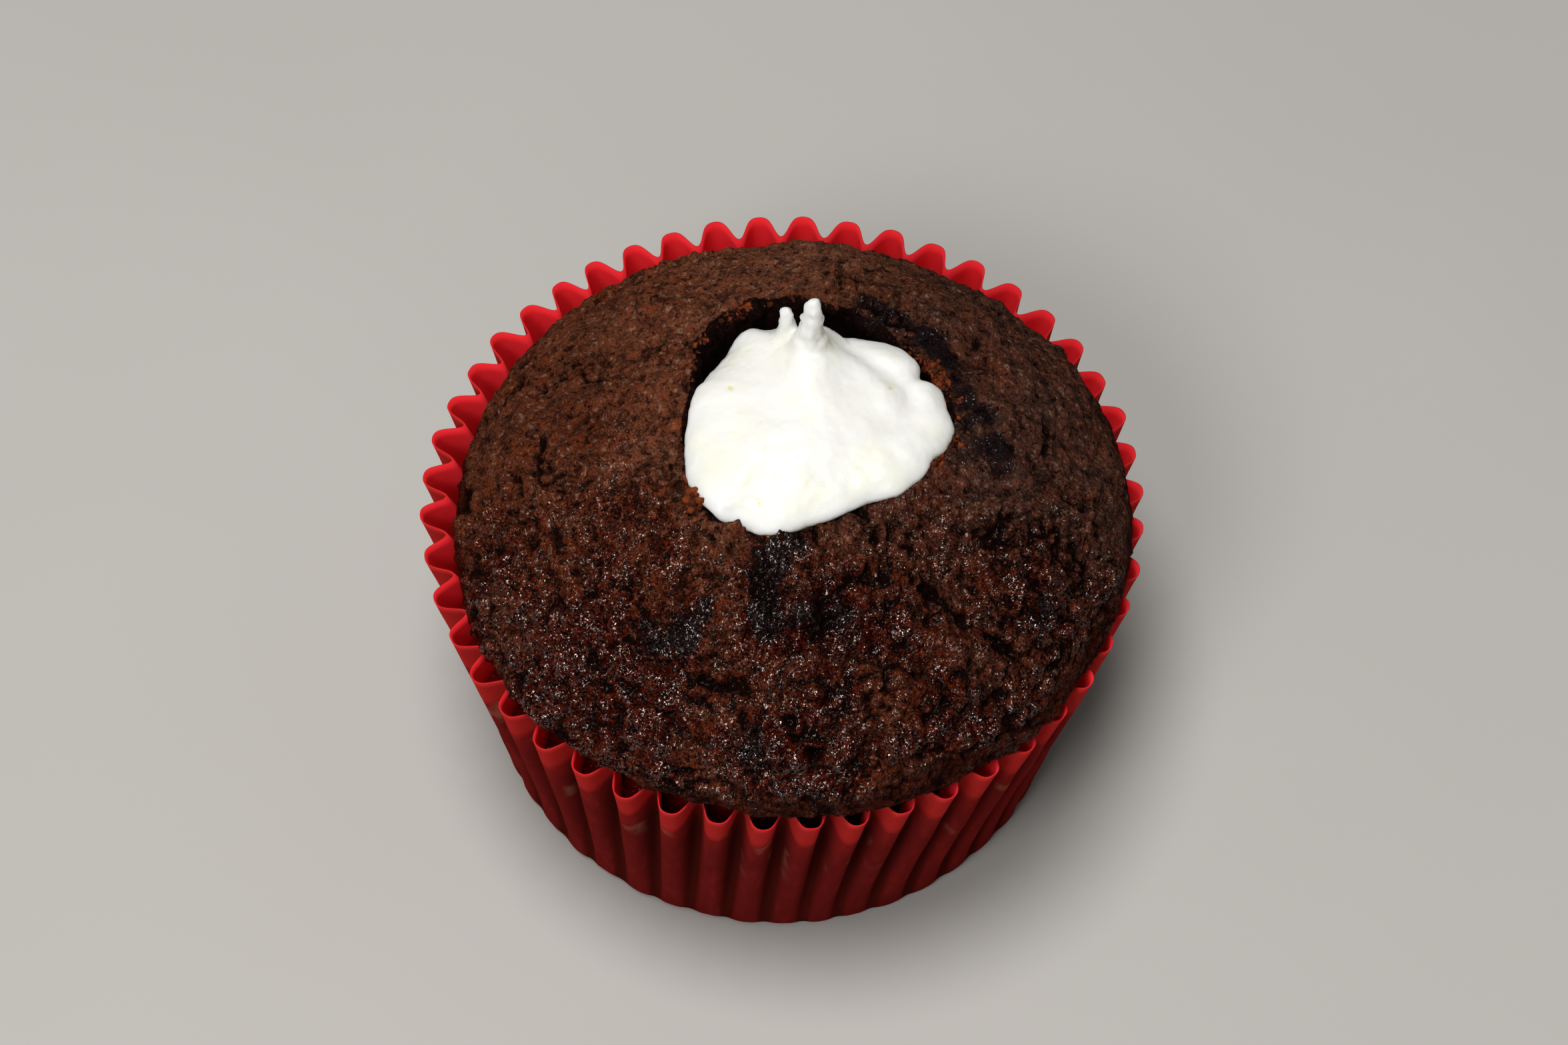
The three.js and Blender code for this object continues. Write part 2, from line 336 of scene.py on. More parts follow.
class Wire:
    """A value on its way through a material. Python's operators on it add Math nodes."""

    def __init__(self, graph: "Graph", socket: bpy.types.NodeSocket) -> None:
        """Keeps the socket and the graph it belongs to."""
        self.graph = graph
        self.socket = socket

    def maths(self, operation: str, *values: "Wire | float") -> "Wire":
        """A Math node over the given values."""
        return self.graph.node("ShaderNodeMath", {"operation": operation}, dict(enumerate(values)))

    def __add__(self, other: "Wire | float") -> "Wire":
        """The sum."""
        return self.maths("ADD", self, other)

    def __sub__(self, other: "Wire | float") -> "Wire":
        """The difference."""
        return self.maths("SUBTRACT", self, other)

    def __rsub__(self, other: float) -> "Wire":
        """The difference, from a plain number."""
        return self.maths("SUBTRACT", other, self)

    def __mul__(self, other: "Wire | float") -> "Wire":
        """The product."""
        return self.maths("MULTIPLY", self, other)

    def __pow__(self, other: "Wire | float") -> "Wire":
        """The power."""
        return self.maths("POWER", self, other)

    __radd__ = __add__
    __rmul__ = __mul__

    def ease(self, low: float, high: float) -> "Wire":
        """A smooth S curve from 0 at low to 1 at high.

        Args:
            low: Value up to which the result is 0.
            high: Value from which it is 1. With low above high the curve falls instead of rising.

        Returns:
            The wire of the eased value.
        """
        if low > high:
            return 1 - self.ease(high, low)
        settings = {"interpolation_type": "SMOOTHSTEP"}
        return self.graph.node("ShaderNodeMapRange", settings, {0: self, 1: low, 2: high, 3: 0.0, 4: 1.0})

    def clear(self) -> "Wire":
        """The value kept between 0 and 1."""
        return self.graph.node("ShaderNodeClamp", {}, {0: self, 1: 0.0, 2: 1.0})


class Graph:
    """A material's nodes, made through a few methods."""

    def __init__(self, name: str) -> None:
        """Starts an empty material with points in millimetres to hand.

        Args:
            name: Name of the material.
        """
        self.material = bpy.data.materials.new(name)
        self.material.use_nodes = True
        self.material.node_tree.nodes.clear()
        place = self.node("ShaderNodeTexCoord", {}, {}, "Object")
        self.place = self.vector("SCALE", place, {"Scale": 1000.0})

    def node(self, kind: str, settings: dict, inputs: dict, output: int | str = 0) -> Wire:
        """Adds a node.

        Args:
            kind: Type of the node.
            settings: Its properties by name, set before its sockets.
            inputs: Values or wires by the name or number of the socket.
            output: Name or number of the socket to take.

        Returns:
            The wire from that output.
        """
        made = self.material.node_tree.nodes.new(kind)
        for key, value in settings.items():
            setattr(made, key, value)
        for key, value in inputs.items():
            socket = made.inputs[key]
            if isinstance(value, Wire):
                self.material.node_tree.links.new(value.socket, socket)
            else:
                socket.default_value = value
        return Wire(self, made.outputs[output])

    def vector(self, operation: str, first: Wire, inputs: dict) -> Wire:
        """A Vector Math node, for places, normals and colours."""
        return self.node("ShaderNodeVectorMath", {"operation": operation}, {0: first, **inputs})

    def mark(self, name: str) -> Wire:
        """A number kept on the piece's vertices."""
        return self.node("ShaderNodeAttribute", {"attribute_name": name}, {}, "Fac")

    def noise(
        self, size: float, detail: float = 2.0, rough: float = 0.5, place: Wire | None = None
    ) -> Wire:
        """Soft noise from 0 to 1.

        Args:
            size: About how large its features are, in millimetres.
            detail: How many times finer noise is added.
            rough: How strong each finer noise is against the one before.
            place: Where it is read, instead of the plain place on the object.

        Returns:
            The wire of the noise.
        """
        inputs = {"Vector": place or self.place, "Scale": 1 / size, "Detail": detail, "Roughness": rough}
        return self.node("ShaderNodeTexNoise", {}, inputs)

    def cells(self, size: float, place: Wire) -> Wire:
        """A random colour for each cell of a pattern about the size across, in millimetres."""
        return self.node("ShaderNodeTexVoronoi", {}, {"Vector": place, "Scale": 1 / size}, "Color")

    def centred(self, colour: Wire, scale: float) -> Wire:
        """A colour as an arrow from the middle of its range, made longer or shorter by a scale."""
        return self.vector("SCALE", self.vector("SUBTRACT", colour, {1: (0.5, 0.5, 0.5)}), {"Scale": scale})

    def stirred(self, size: float, reach: float) -> Wire:
        """Places shifted at random, so that a pattern read there has crooked outlines.

        Args:
            size: About how far apart different shifts are, in millimetres.
            reach: How far a place shifts, in millimetres.

        Returns:
            The wire of the places.
        """
        inputs = {"Vector": self.place, "Scale": 1 / size, "Detail": 2.0}
        shift = self.node("ShaderNodeTexNoise", {}, inputs, "Color")
        return self.vector("ADD", self.place, {1: self.centred(shift, 2 * reach)})

    def mix(self, share: Wire | float, low: Wire | Colour, high: Wire | Colour, how: str = "MIX") -> Wire:
        """A colour between two colours.

        Args:
            share: 0 for the low colour, 1 for the high one.
            low: A colour, as a wire or as red, green and blue.
            high: The other colour.
            how: Blend type of the Mix node.

        Returns:
            The wire of the colour.
        """
        settings = {"data_type": "RGBA", "blend_type": how}
        inputs = {
            0: share,
            6: low if isinstance(low, Wire) else (*low, 1.0),
            7: high if isinstance(high, Wire) else (*high, 1.0),
        }
        return self.node("ShaderNodeMix", settings, inputs, 2)

    def bump(self, height: Wire, depth: float) -> Wire:
        """A normal bent by a height, of which 1 stands for the depth in millimetres."""
        return self.node("ShaderNodeBump", {}, {"Height": height, "Distance": depth * MM, "Strength": 1.0})

    def shader(self, varying: dict, constant: dict) -> Wire:
        """A shader from wires into its sockets and plain values for the others."""
        return self.node("ShaderNodeBsdfPrincipled", {}, {**constant, **varying})

    def finish(self, shader: Wire) -> bpy.types.Material:
        """Sends the shader to the surface.

        Args:
            shader: Wire of the shader.

        Returns:
            The finished material.
        """
        end = self.material.node_tree.nodes.new("ShaderNodeOutputMaterial")
        self.material.node_tree.links.new(shader.socket, end.inputs["Surface"])
        return self.material


# --------------------------------------------------------------------------------------------- finishes


@dataclass(frozen=True)
class GreasyPaper:
    """Thin red baking paper: clean along the rim, soaked with fat and darker where the cake touches it."""

    # clean: the clean paper inside, painted much brighter than the same paper outside: painted light coming
    # through the thin paper
    clean: Colour = (0.92, 0.026, 0.036)
    # clean band outside, painted darker than the same paper inside: painted shade
    clean_outside_painted_shade: Colour = (0.42, 0.020, 0.018)
    within: Colour = (0.66, 0.008, 0.012)
    soaked: Colour = (0.125, 0.009, 0.008)
    # lighter streaks on the tips: partly uneven soaking, partly a painted sheen along the crests
    streak_and_painted_sheen: Colour = (0.20, 0.014, 0.012)
    # fold: painted shade in the folds of the pleats
    fold: Colour = (0.055, 0.006, 0.004)
    blotch: Colour = (0.085, 0.008, 0.008)
    beige: Colour = (0.36, 0.17, 0.10)
    clean_band: float = 3.7
    band_sag: float = 1.5
    streak_size: float = 1.1
    streak_squash: float = 0.25
    blotch_size: float = 5.0
    smear_size: float = 2.6
    smear_squash: float = 0.6
    fibre_size: float = 0.28
    fibre_depth: float = 0.02
    roughness: float = 0.5

    def squashed(self, graph: Graph, share: float) -> Wire:
        """Places with their heights made less, so that a pattern read there is drawn out upwards."""
        return graph.vector("MULTIPLY", graph.place, {1: (1.0, 1.0, share)})

    def soaked_colour(self, graph: Graph, arch: Wire, streaks: Wire, soak: Wire) -> Wire:
        """Colour of the paper where the cake has soaked it.

        Args:
            graph: The material's nodes.
            arch: 1 at the tips of the pleats, 0 in their folds.
            streaks: Noise drawn out upwards.
            soak: 1 where the paper is soaked through.

        Returns:
            The wire of the colour: darkest in the folds, which is painted shade, streaked lighter on the
                tips,
            partly as a painted sheen along the crests, blotched, with pale smears.
        """
        blotches = graph.noise(self.blotch_size, 3.0, 0.6)
        # painted shade: darker towards the folds of the pleats
        colour = graph.mix(arch.ease(0.85, 0.1), self.soaked, self.fold)
        # painted sheen: lighter streaks along the crests of the pleats
        colour = graph.mix(streaks.ease(0.45, 0.75) * arch.ease(0.3, 0.8) * 0.6, colour, self.streak_and_painted_sheen)
        colour = graph.mix(blotches.ease(0.5, 0.72) * 0.35, colour, self.blotch)
        smears = graph.noise(self.smear_size, 1.5, 0.5, self.squashed(graph, self.smear_squash))
        greasy = smears.ease(0.60, 0.78) * arch.ease(0.2, 0.7) * soak * graph.mark("drop").ease(20.0, 8.0)
        return graph.mix(greasy * 0.45, colour, self.beige)

    def material(self) -> bpy.types.Material:
        """The material, from the marks inside, arch and drop on the paper's vertices.

        Returns:
            The finished material.
        """
        graph = Graph("greasy_paper")
        inside, arch, drop = graph.mark("inside"), graph.mark("arch"), graph.mark("drop")
        streaks = graph.noise(self.streak_size, 3.0, 0.6, self.squashed(graph, self.streak_squash))
        ragged = (graph.noise(1.6, 3.0, 0.6) - 0.5) * 1.2 + (graph.noise(7.0, 1.0) - 0.5) * 1.2
        below = drop - (arch * self.band_sag + self.clean_band) + ragged
        soak = below.ease(-0.8, 1.0) * 0.78 + below.ease(0.0, 6.0) * 0.22
        # painted shade on the clean band outside, painted light on the clean paper inside: two copies of one
        # paper
        outside = graph.mix(soak, self.clean_outside_painted_shade, self.soaked_colour(graph, arch, streaks, soak))
        within = graph.mix(drop.ease(3.0, 9.0), self.clean, self.within)
        fibres = graph.noise(self.fibre_size, 3.0, 0.6) + streaks * 0.8
        varying = {
            "Base Color": graph.mix(inside, outside, within),
            "Roughness": self.roughness - soak * 0.1 + (graph.noise(0.9, 2.0) - 0.5) * 0.12,
            "Normal": graph.bump(fibres, self.fibre_depth),
        }
        constant = {
            "Specular IOR Level": 0.0,
            "Subsurface Weight": 0.6,
            "Subsurface Radius": (1.0, 0.06, 0.05),
            "Subsurface Scale": 0.0004,
        }
        return graph.finish(graph.shader(varying, constant))


@dataclass(frozen=True)
class CrumbNoise:
    """The noises that the crust's colour and bump share: coarse lumps, fine specks, flecks and a mottle."""

    lumps: Wire
    specks: Wire
    flecks: Wire
    mottle: Wire


@dataclass(frozen=True)
class ChocolateCrust:
    """Moist chocolate crumb: mottled brown, nearly black in patches, with a wet gloss broken into glints."""

    brown: Colour = (0.106, 0.0370, 0.0185)
    reddish: Colour = (0.098, 0.0215, 0.0072)
    # dusky: darker crust, which on the right paints shade
    dusky: Colour = (0.060, 0.0275, 0.0195)
    # pale: painted soft highlights in the flecks, and painted light on the back
    pale: Colour = (0.200, 0.1250, 0.0850)
    wet_tint: Colour = (0.335, 0.140, 0.100)
    low: Colour = (0.036, 0.0045, 0.0016)
    black: Colour = (0.0052, 0.0042, 0.0060)
    torn: Colour = (0.15, 0.031, 0.009)
    # wall of the hole: dark crumb, darkened to near black as painted shade of the deep gap round the cream
    wall: Colour = (0.008, 0.0032, 0.0026)
    # painted light: the red of light through the paper, on the cake's side below the rim
    painted_red_glow: Colour = (0.15, 0.0020, 0.0030)
    # hollow: near black, the colour of painted shade in crevices, hollows and small pits
    hollow: Colour = (0.0035, 0.0012, 0.0010)
    dry_shade: Colour = (0.42, 0.38, 0.40)
    wet_shade: Colour = (0.06, 0.045, 0.05)
    dry_light: Colour = (1.45, 1.45, 1.45)
    wet_light: Colour = (1.80, 1.33, 1.02)
    lump_size: float = 1.5
    speck_size: float = 0.24
    fleck_size: float = 0.6
    crumb_depth: float = 0.6
    cluster_size: float = 1.7
    clustered_glints: float = 0.57
    scattered_glints: float = 0.09
    glint_size: float = 0.25
    facet_size: float = 0.16
    facet_tilt: float = 0.85
    gloss_tint: Colour = (1.0, 0.91, 0.84)

    def noises(self, graph: Graph) -> CrumbNoise:
        """The noises of the crumb.

        Args:
            graph: The material's nodes.

        Returns:
            The lumps, specks and flecks, and the mottle, which sums lumps, specks and a crooked noise.
        """
        lumps, specks = graph.noise(self.lump_size, 3.0, 0.6), graph.noise(self.speck_size, 3.0, 0.68)
        crooked = graph.noise(0.7, 3.0, 0.6, graph.stirred(0.9, 0.4))
        flecks = graph.noise(self.fleck_size, 2.0, 0.6)
        return CrumbNoise(lumps, specks, flecks, lumps * 0.25 + specks * 0.45 + crooked * 0.30)

    def baked(self, graph: Graph, noise: CrumbNoise, dusk_and_painted_shading: Wire, dry: Wire) -> Wire:
        """Colour of the baked crust.

        Args:
            graph: The material's nodes.
            noise: The noises of the crumb.
            dusk_and_painted_shading: 1 and more where the crust is dusky; dusky on the right is painted
                shade.
            dry: 1 where it is driest; on the back its paleness is painted light.

        Returns:
            The wire of the colour: brown to dusky, where the dusky right is painted shade, paler where dry,
            which on the back is painted light, reddish where warm, with pale flecks that paint soft
            highlights and dark flecks that paint shade in small pits, and dark on the band under the edge.
        """
        colour = graph.mix(dusk_and_painted_shading.clear(), self.brown, self.dusky)
        # paler where dry: on the back this is painted light
        colour = graph.mix(dry * 0.10, colour, self.pale)
        colour = graph.mix((graph.mark("warm") + (noise.lumps - 0.5) * 1.6).clear(), colour, self.reddish)
        # pale flecks: painted soft highlights
        colour = graph.mix(noise.flecks.ease(0.58, 0.66) * 0.55, colour, self.pale)
        # dark flecks: painted shade in small pits
        colour = graph.mix(noise.flecks.ease(0.41, 0.33) * 0.8, colour, self.hollow)
        return graph.mix(graph.mark("band").clear() * 0.85, colour, self.low)

    def opened(self, graph: Graph, noise: CrumbNoise, colour: Wire) -> Wire:
        """Lays the cut's wall, in part painted shade, the blackish patches and torn places over the baked
        crust.

        Args:
            graph: The material's nodes.
            noise: The noises of the crumb, which break up the outlines of the places.
            colour: Colour so far.

        Returns:
            The wire of the colour.
        """
        wall, torn = graph.mark("wall"), graph.mark("torn")
        # the hole's wall, painted near-black: dark crumb with painted shade
        colour = graph.mix((wall + (noise.lumps - 0.5) * wall * 0.6).ease(0.3, 0.8), colour, self.wall)
        broken = (noise.lumps - 0.5) * 1.7 + (noise.mottle - 0.5) * 3.0 + (noise.flecks - 0.5) * 2.4
        # nearly black patches of crumb, with ragged outlines
        nearly_black = (graph.mark("patch") * (1 + broken)).ease(0.3, 0.6)
        colour = graph.mix(nearly_black * 0.93, colour, self.black)
        bare = (torn + (noise.lumps - 0.5) * 2.2 + (noise.mottle - 0.5) * 2.0).ease(0.42, 0.75)
        return graph.mix(bare * torn.ease(0.05, 0.3) * noise.flecks.ease(0.40, 0.54), colour, self.torn)

    def lit(self, graph: Graph, noise: CrumbNoise, colour: Wire, soaked: Wire, dry: Wire) -> Wire:
        """Lights and shades the colour from crumb to crumb, more strongly where the crust is wet.

        Args:
            graph: The material's nodes.
            noise: The noises of the crumb.
            colour: Colour so far.
            soaked: 1 where the crust is wettest.
            dry: 1 where it is driest; on the back its brightness is painted light.

        Returns:
            The wire of the colour.
        """
        shade = graph.mix(soaked, self.dry_shade, self.wet_shade)
        light = graph.mix(soaked, self.dry_light, self.wet_light)
        tint = graph.mix(noise.mottle.ease(0.39, 0.61), shade, light)
        # painted shade between the lumps of crumb
        painted_gap_shade = noise.lumps.ease(0.46, 0.34) * 0.6
        colour = graph.mix(painted_gap_shade, colour, graph.vector("SCALE", colour, {"Scale": 0.35}))
        specks = 1 + soaked * (noise.specks.ease(0.43, 0.57) * 1.2 - 0.6)
        colour = graph.mix(1.0, colour, tint, "MULTIPLY")
        # brighter where dry: on the back this is painted light
        return graph.vector("SCALE", colour, {"Scale": (1 + dry * 0.22) * specks})

    def colour(self, graph: Graph, noise: CrumbNoise) -> Wire:
        """Colour of the crumb, from the marks on the vertices.

        Args:
            graph: The material's nodes.
            noise: The noises of the crumb.

        Returns:
            The wire of the colour, dark in the hollows, which is painted shade, and red below its rim, which
            paints the red light that comes through the paper.
        """
        # dusky is painted shade on the right; below 0, dry and pale, it is painted light on the back
        dusk_and_painted_shading = graph.mark("dusk_and_painted_shading") + (graph.noise(6.0, 3.0) - 0.5) * 1.2 + (graph.noise(2.2, 2.0) - 0.5) * 1.2
        dry = (dusk_and_painted_shading * -1).clear()
        soaked = graph.mark("wet").clear() ** 1.6
        colour = graph.mix(soaked, self.baked(graph, noise, dusk_and_painted_shading, dry), self.wet_tint, "MULTIPLY")
        colour = self.lit(graph, noise, self.opened(graph, noise, colour), soaked, dry)
        # painted shade: near black where the relief is low, in creases, gaps, pits and hollows, less where
        # dry
        deep = (graph.mark("relief_and_painted_shade") * -1 - (noise.mottle - 0.5) * 0.8).ease(-0.05, 0.6)
        colour = graph.mix(deep * (0.96 - dry * 0.3), colour, self.hollow)
        # painted light: the side below the rim takes the red of light coming through the paper
        return graph.mix((graph.mark("band") - 1).clear(), colour, self.painted_red_glow)

    def facets(self, graph: Graph) -> Wire:
        """A normal broken into small flat facets, each tilted its own way, over a gentle bump.

        Args:
            graph: The material's nodes.

        Returns:
            The wire of the normal.
        """
        tilt = graph.centred(graph.cells(self.facet_size, graph.stirred(0.3, 0.08)), self.facet_tilt)
        gentle = graph.bump(graph.noise(0.34, 1.5, 0.5), 0.14)
        return graph.vector("NORMALIZE", graph.vector("ADD", gentle, {1: tilt}), {})

    def shining(self, graph: Graph) -> Wire:
        """Where the moist crust glints.

        Args:
            graph: The material's nodes.

        Returns:
            The wire of the share: sparse specks in clusters, more on raised crumbs and on wet crust.
        """
        clusters = (graph.noise(self.cluster_size, 3.0, 0.6) + graph.mark("relief_and_painted_shade") * 0.35).ease(0.42, 0.58)
        sparse = graph.noise(self.glint_size, 1.5, 0.55).ease(0.43, 0.56)
        share = clusters * self.clustered_glints + self.scattered_glints
        return (graph.mark("wet").clear() ** 1.5 * share * sparse).clear()

    def material(self) -> bpy.types.Material:
        """The material: dull crumb and moist crumb, mixed by how much of the crust shines.

        Returns:
            The finished material.
        """
        graph = Graph("chocolate_crust")
        noise = self.noises(graph)
        colour = self.colour(graph, noise)
        dull = graph.shader(
            {"Base Color": colour, "Normal": graph.bump(noise.mottle, self.crumb_depth)},
            {"Roughness": 0.95, "Specular IOR Level": 0.02},
        )
        gloss = {"Specular IOR Level": 1.0, "IOR": 1.72, "Specular Tint": (*self.gloss_tint, 1.0)}
        moist = graph.shader(
            {"Base Color": colour, "Normal": self.facets(graph)}, {"Roughness": 0.09, **gloss}
        )
        shares = {0: self.shining(graph), 1: dull, 2: moist}
        return graph.finish(graph.node("ShaderNodeMixShader", {}, shares))


@dataclass(frozen=True)
class SoftCream:
    """Whipped cream: warm white with a faint yellow cast and a few small pits."""

    white: Colour = (0.955, 0.955, 0.885)
    yellow: Colour = (0.94, 0.93, 0.76)
    # pit: darker and yellower, painted shade in the pits
    pit: Colour = (0.80, 0.79, 0.46)
    cast_size: float = 5.0
    grain_depth: float = 0.035

    def material(self) -> bpy.types.Material:
        """The material, from the mark pit on the cream's vertices.

        Returns:
            The finished material.
        """
        graph = Graph("soft_cream")
        cast = graph.noise(self.cast_size, 2.0).ease(0.42, 0.72)
        colour = graph.mix(cast * 0.55, self.white, self.yellow)
        # painted shade: the pits are painted darker and yellower
        colour = graph.mix(graph.mark("pit").ease(0.15, 0.9), colour, self.pit)
        normal = graph.bump(graph.noise(0.5, 3.0) + graph.noise(0.15, 2.0) * 0.3, self.grain_depth)
        constant = {
            "Roughness": 0.42,
            "Specular IOR Level": 0.4,
            "Subsurface Weight": 0.8,
            "Subsurface Radius": (1.0, 0.9, 0.7),
            "Subsurface Scale": 0.002,
        }
        return graph.finish(graph.shader({"Base Color": colour, "Normal": normal}, constant))


@dataclass(frozen=True)
class LooseCrumb:
    """Torn crumb: lighter and more orange than the crust."""

    light: Colour = (0.205, 0.042, 0.011)
    dark: Colour = (0.04, 0.011, 0.005)

    def material(self) -> bpy.types.Material:
        """The material, from the mark shade on the crumbs' vertices.

        Returns:
            The finished material.
        """
        graph = Graph("torn_crumb")
        shade = (graph.mark("shade") + (graph.noise(0.3, 3.0) - 0.5) * 0.8).clear()
        varying = {
            "Base Color": graph.mix(shade, self.dark, self.light),
            "Normal": graph.bump(graph.noise(0.12, 3.0, 0.6), 0.05),
        }
        return graph.finish(graph.shader(varying, {"Roughness": 0.8, "Specular IOR Level": 0.1}))


# ----------------------------------------------------------------------------------------------- pieces


def put_on(made: bpy.types.Object, piece: Piece, material: bpy.types.Material) -> None:
    """Dresses a piece, ties it to the body and hides the solid that it stands for.

    Args:
        made: The finished object.
        piece: Which piece it is.
        material: Its finish.
    """
    node, slot = piece.solid, piece.slot
    made.data.materials.clear()
    made.data.materials.append(material)
    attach(made, "root")
    if node:
        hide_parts(node)
    log.info("%s: %d vertices, %d faces", made.name, len(made.data.vertices), len(made.data.polygons))


@dataclass
class PaperCase:
    """The pleated case. The radius round the wall is a wave with round tips and sharp folds."""

    rim_radius: float = 34.0
    height: float = 31.6
    flat_radius: float = 27.4
    foot_radius: float = 28.7
    foot_height: float = 1.3
    flare: float = 1.1
    pleats: int = 48
    rim_depth: float = 3.25
    foot_depth: float = 0.2
    fade: float = 0.8
    first_pleat: float = math.radians(6.4)
    swirl: float = math.radians(-2.8)
    steepness: float = 0.9
    fullness: float = 0.9
    rim_flare: float = 0.85
    flare_reach: float = 3.4
    paper: float = 0.12
    uneven_spacing: float = 0.3
    uneven_lean: float = math.radians(0.55)
    uneven_depth: float = 0.07
    uneven_radius: float = 0.09
    uneven_rim: float = 0.09
    buckle_size: float = 6.5
    buckle_depth: float = 0.16
    points_per_pleat: int = 24
    wall_rows: int = 27
    corner_rows: int = 5

    def wall_share(self, height: Number) -> Array:
        """How far up the wall a height is, from 0 at its foot to 1 at the rim."""
        return np.maximum(0, (height - self.foot_height) / (self.height - self.foot_height))

    def tip_radius(self, height: Number, angle: Number) -> Array:
        """Radius of the outer tips.

        Args:
            height: Height above the base.
            angle: Angle from the front towards +X.

        Returns:
            A wall that flares from the foot to the rim, plus waves round the turn that grow with the height.
        """
        share = self.wall_share(height)
        uneven = 0.18 * np.sin(3 * angle + 0.49) - 0.24 * np.sin(2 * angle + 0.33)
        return lerp(self.foot_radius, self.rim_radius, share**self.flare) + share * uneven

    def pleat_depth(self, height: Number) -> Array:
        """Depth of the pleats, growing from the foot up and easing where the rim bends outwards."""
        full = lerp(self.foot_depth, self.rim_depth, self.wall_share(height) ** self.fade)
        return full - self.rim_flare * np.clip(1 - (self.height - height) / self.flare_reach, 0, 1) ** 1.4

    def fold_radius(self, height: Number, angle: Number) -> Array:
        """Radius of the inner folds."""
        return self.tip_radius(height, angle) - self.pleat_depth(height)

    def pleat_number(self, turn: Array, seed: int) -> Array:
        """A random number for each pleat, blended in a straight line from one tip to the next.

        Args:
            turn: Places round the case.
            seed: Number that picks the numbers.

        Returns:
            Numbers from -1 to 1, one a place.
        """
        along = turn / FULL_TURN * self.pleats + 0.5
        low = np.floor(along)
        share = along - low
        cells = [np.stack([(low + k) % self.pleats, 0 * low, 0 * low], axis=-1) for k in (-1, 0, 1)]
        before, here, after = (Grain.number(cell, seed) for cell in cells)
        first_half, second_half = lerp(before, here, share + 0.5), lerp(here, after, share - 0.5)
        return 2 * np.where(share < 0.5, first_half, second_half) - 1

    def arch(self, turn: Array) -> Array:
        """Section of a pleat, 1 at its wide round tip and 0 at its narrow fold.

        Args:
            turn: Places round the case.

        Returns:
            tanh(steepness (cos(pleats turn) + fullness)), stretched to reach from 0 to 1.
        """
        low, high = (math.tanh(self.steepness * (side + self.fullness)) for side in (-1, 1))
        return (np.tanh(self.steepness * (np.cos(self.pleats * turn) + self.fullness)) - low) / (high - low)

    def wall(self, height: Array, turn: Array, inset: float) -> Array:
        """Points of the wall.

        Args:
            height: Heights, as a column.
            turn: Places round the case, as a row, with tips a whole number of pleats apart.
            inset: How far inside the outer face, measured across the paper.

        Returns:
            Radius = fold radius + depth arch + buckle - inset sqrt(1 + slope squared), at the angle of the
            turn with the uneven spacing, the slant and the lean of the pleats added.
        """
        spacing = 0.43 * np.cos(2 * turn) - 0.44 * np.sin(3 * turn) - 0.19 * np.cos(3 * turn)
        spacing = spacing + 0.14 * np.sin(turn) + self.uneven_spacing * self.pleat_number(turn, 11)
        slant = self.swirl * (1 - height / self.height) * (1 + 0.25 * np.sin(turn + 0.6))
        lean = self.uneven_lean * self.pleat_number(turn, 23) * (1 - self.wall_share(height)) ** 1.5
        angle = self.first_pleat + turn + np.radians(spacing) + slant + lean
        arch = self.arch(turn)
        depth = self.pleat_depth(height) * (1 + self.uneven_depth * self.pleat_number(turn, 31))
        buckle = self.buckle_depth * Grain.soft(polar(angle, 30.0, height), self.buckle_size, 41)
        buckle = buckle * ease(height, 2.0, 9.0) * ease(self.height - height, 0, 5.0)
        uneven = self.uneven_radius * self.pleat_number(turn, 37)
        radius = self.fold_radius(height, angle) + depth * arch + uneven + buckle
        step = turn[..., 1] - turn[..., 0]
        slope = (np.roll(arch, -1, -1) - np.roll(arch, 1, -1)) / (2 * step) * depth / radius
        return polar(angle, radius - inset * np.sqrt(1 + np.minimum(slope**2, 4.0)), height)

    def inner_radius(self, height: float, angle: Array) -> Array:
        """Radius of the inside of the wall.

        Args:
            height: Height above the base.
            angle: Angles round the case, in any order.

        Returns:
            The radius at each angle, read off a ring of the wall.
        """
        turn = round_the_turn(self.pleats * 16)
        ring = self.wall(np.full((1, 1), height), turn[None], self.paper)[0]
        there = np.unwrap(np.arctan2(ring[:, 0], -ring[:, 1]))
        away = np.linalg.norm(ring[:, :2], axis=-1)
        return np.interp((angle - there[0]) % FULL_TURN, there - there[0], away, period=FULL_TURN)

    def corner(self, share: Array, turn: Array, inset: float) -> Array:
        """The rounded corner between the flat base and the wall.

        Args:
            share: From 0 at the base to 1 at the wall, as a column.
            turn: Places round the case, as a row.
            inset: How far inside the outer face.

        Returns:
            Points on a quarter ellipse: radius by sin, height by cos of the share of a right angle.
        """
        foot = self.wall(np.full_like(share, self.foot_height), turn, inset)
        away = np.linalg.norm(foot[..., :2], axis=-1)
        radius = lerp(self.flat_radius, away, np.sin(share * math.pi / 2))
        height = lerp(self.foot_height, inset, np.cos(share * math.pi / 2)) + 0 * radius
        return np.concatenate([foot[..., :2] * (radius / away)[..., None], height[..., None]], axis=-1)

    def side(self, inset: float) -> Array:
        """One face of the paper, from the middle of the base out and up to the ragged rim.

        Args:
            inset: How far inside the outer face.

        Returns:
            The points in rows and columns.
        """
        turn = round_the_turn(self.pleats * self.points_per_pleat)[None]
        corner = self.corner(np.linspace(0, 1, self.corner_rows)[:, None], turn, inset)
        rise = np.linspace(0, 1, self.wall_rows + 1)[1:, None]
        wall = self.wall(lerp(self.foot_height, self.height, rise), turn, inset)
        ragged = self.uneven_rim * self.pleat_number(turn, 53) + 0.05 * Grain.soft(wall[-1:], 3.0, 57)
        wall[..., 2] += (ragged * rise**4)[..., :]
        rings = [corner[:1] * np.array([share, share, 1]) for share in (0.35, 0.75)]
        return np.concatenate([*rings, corner, wall])

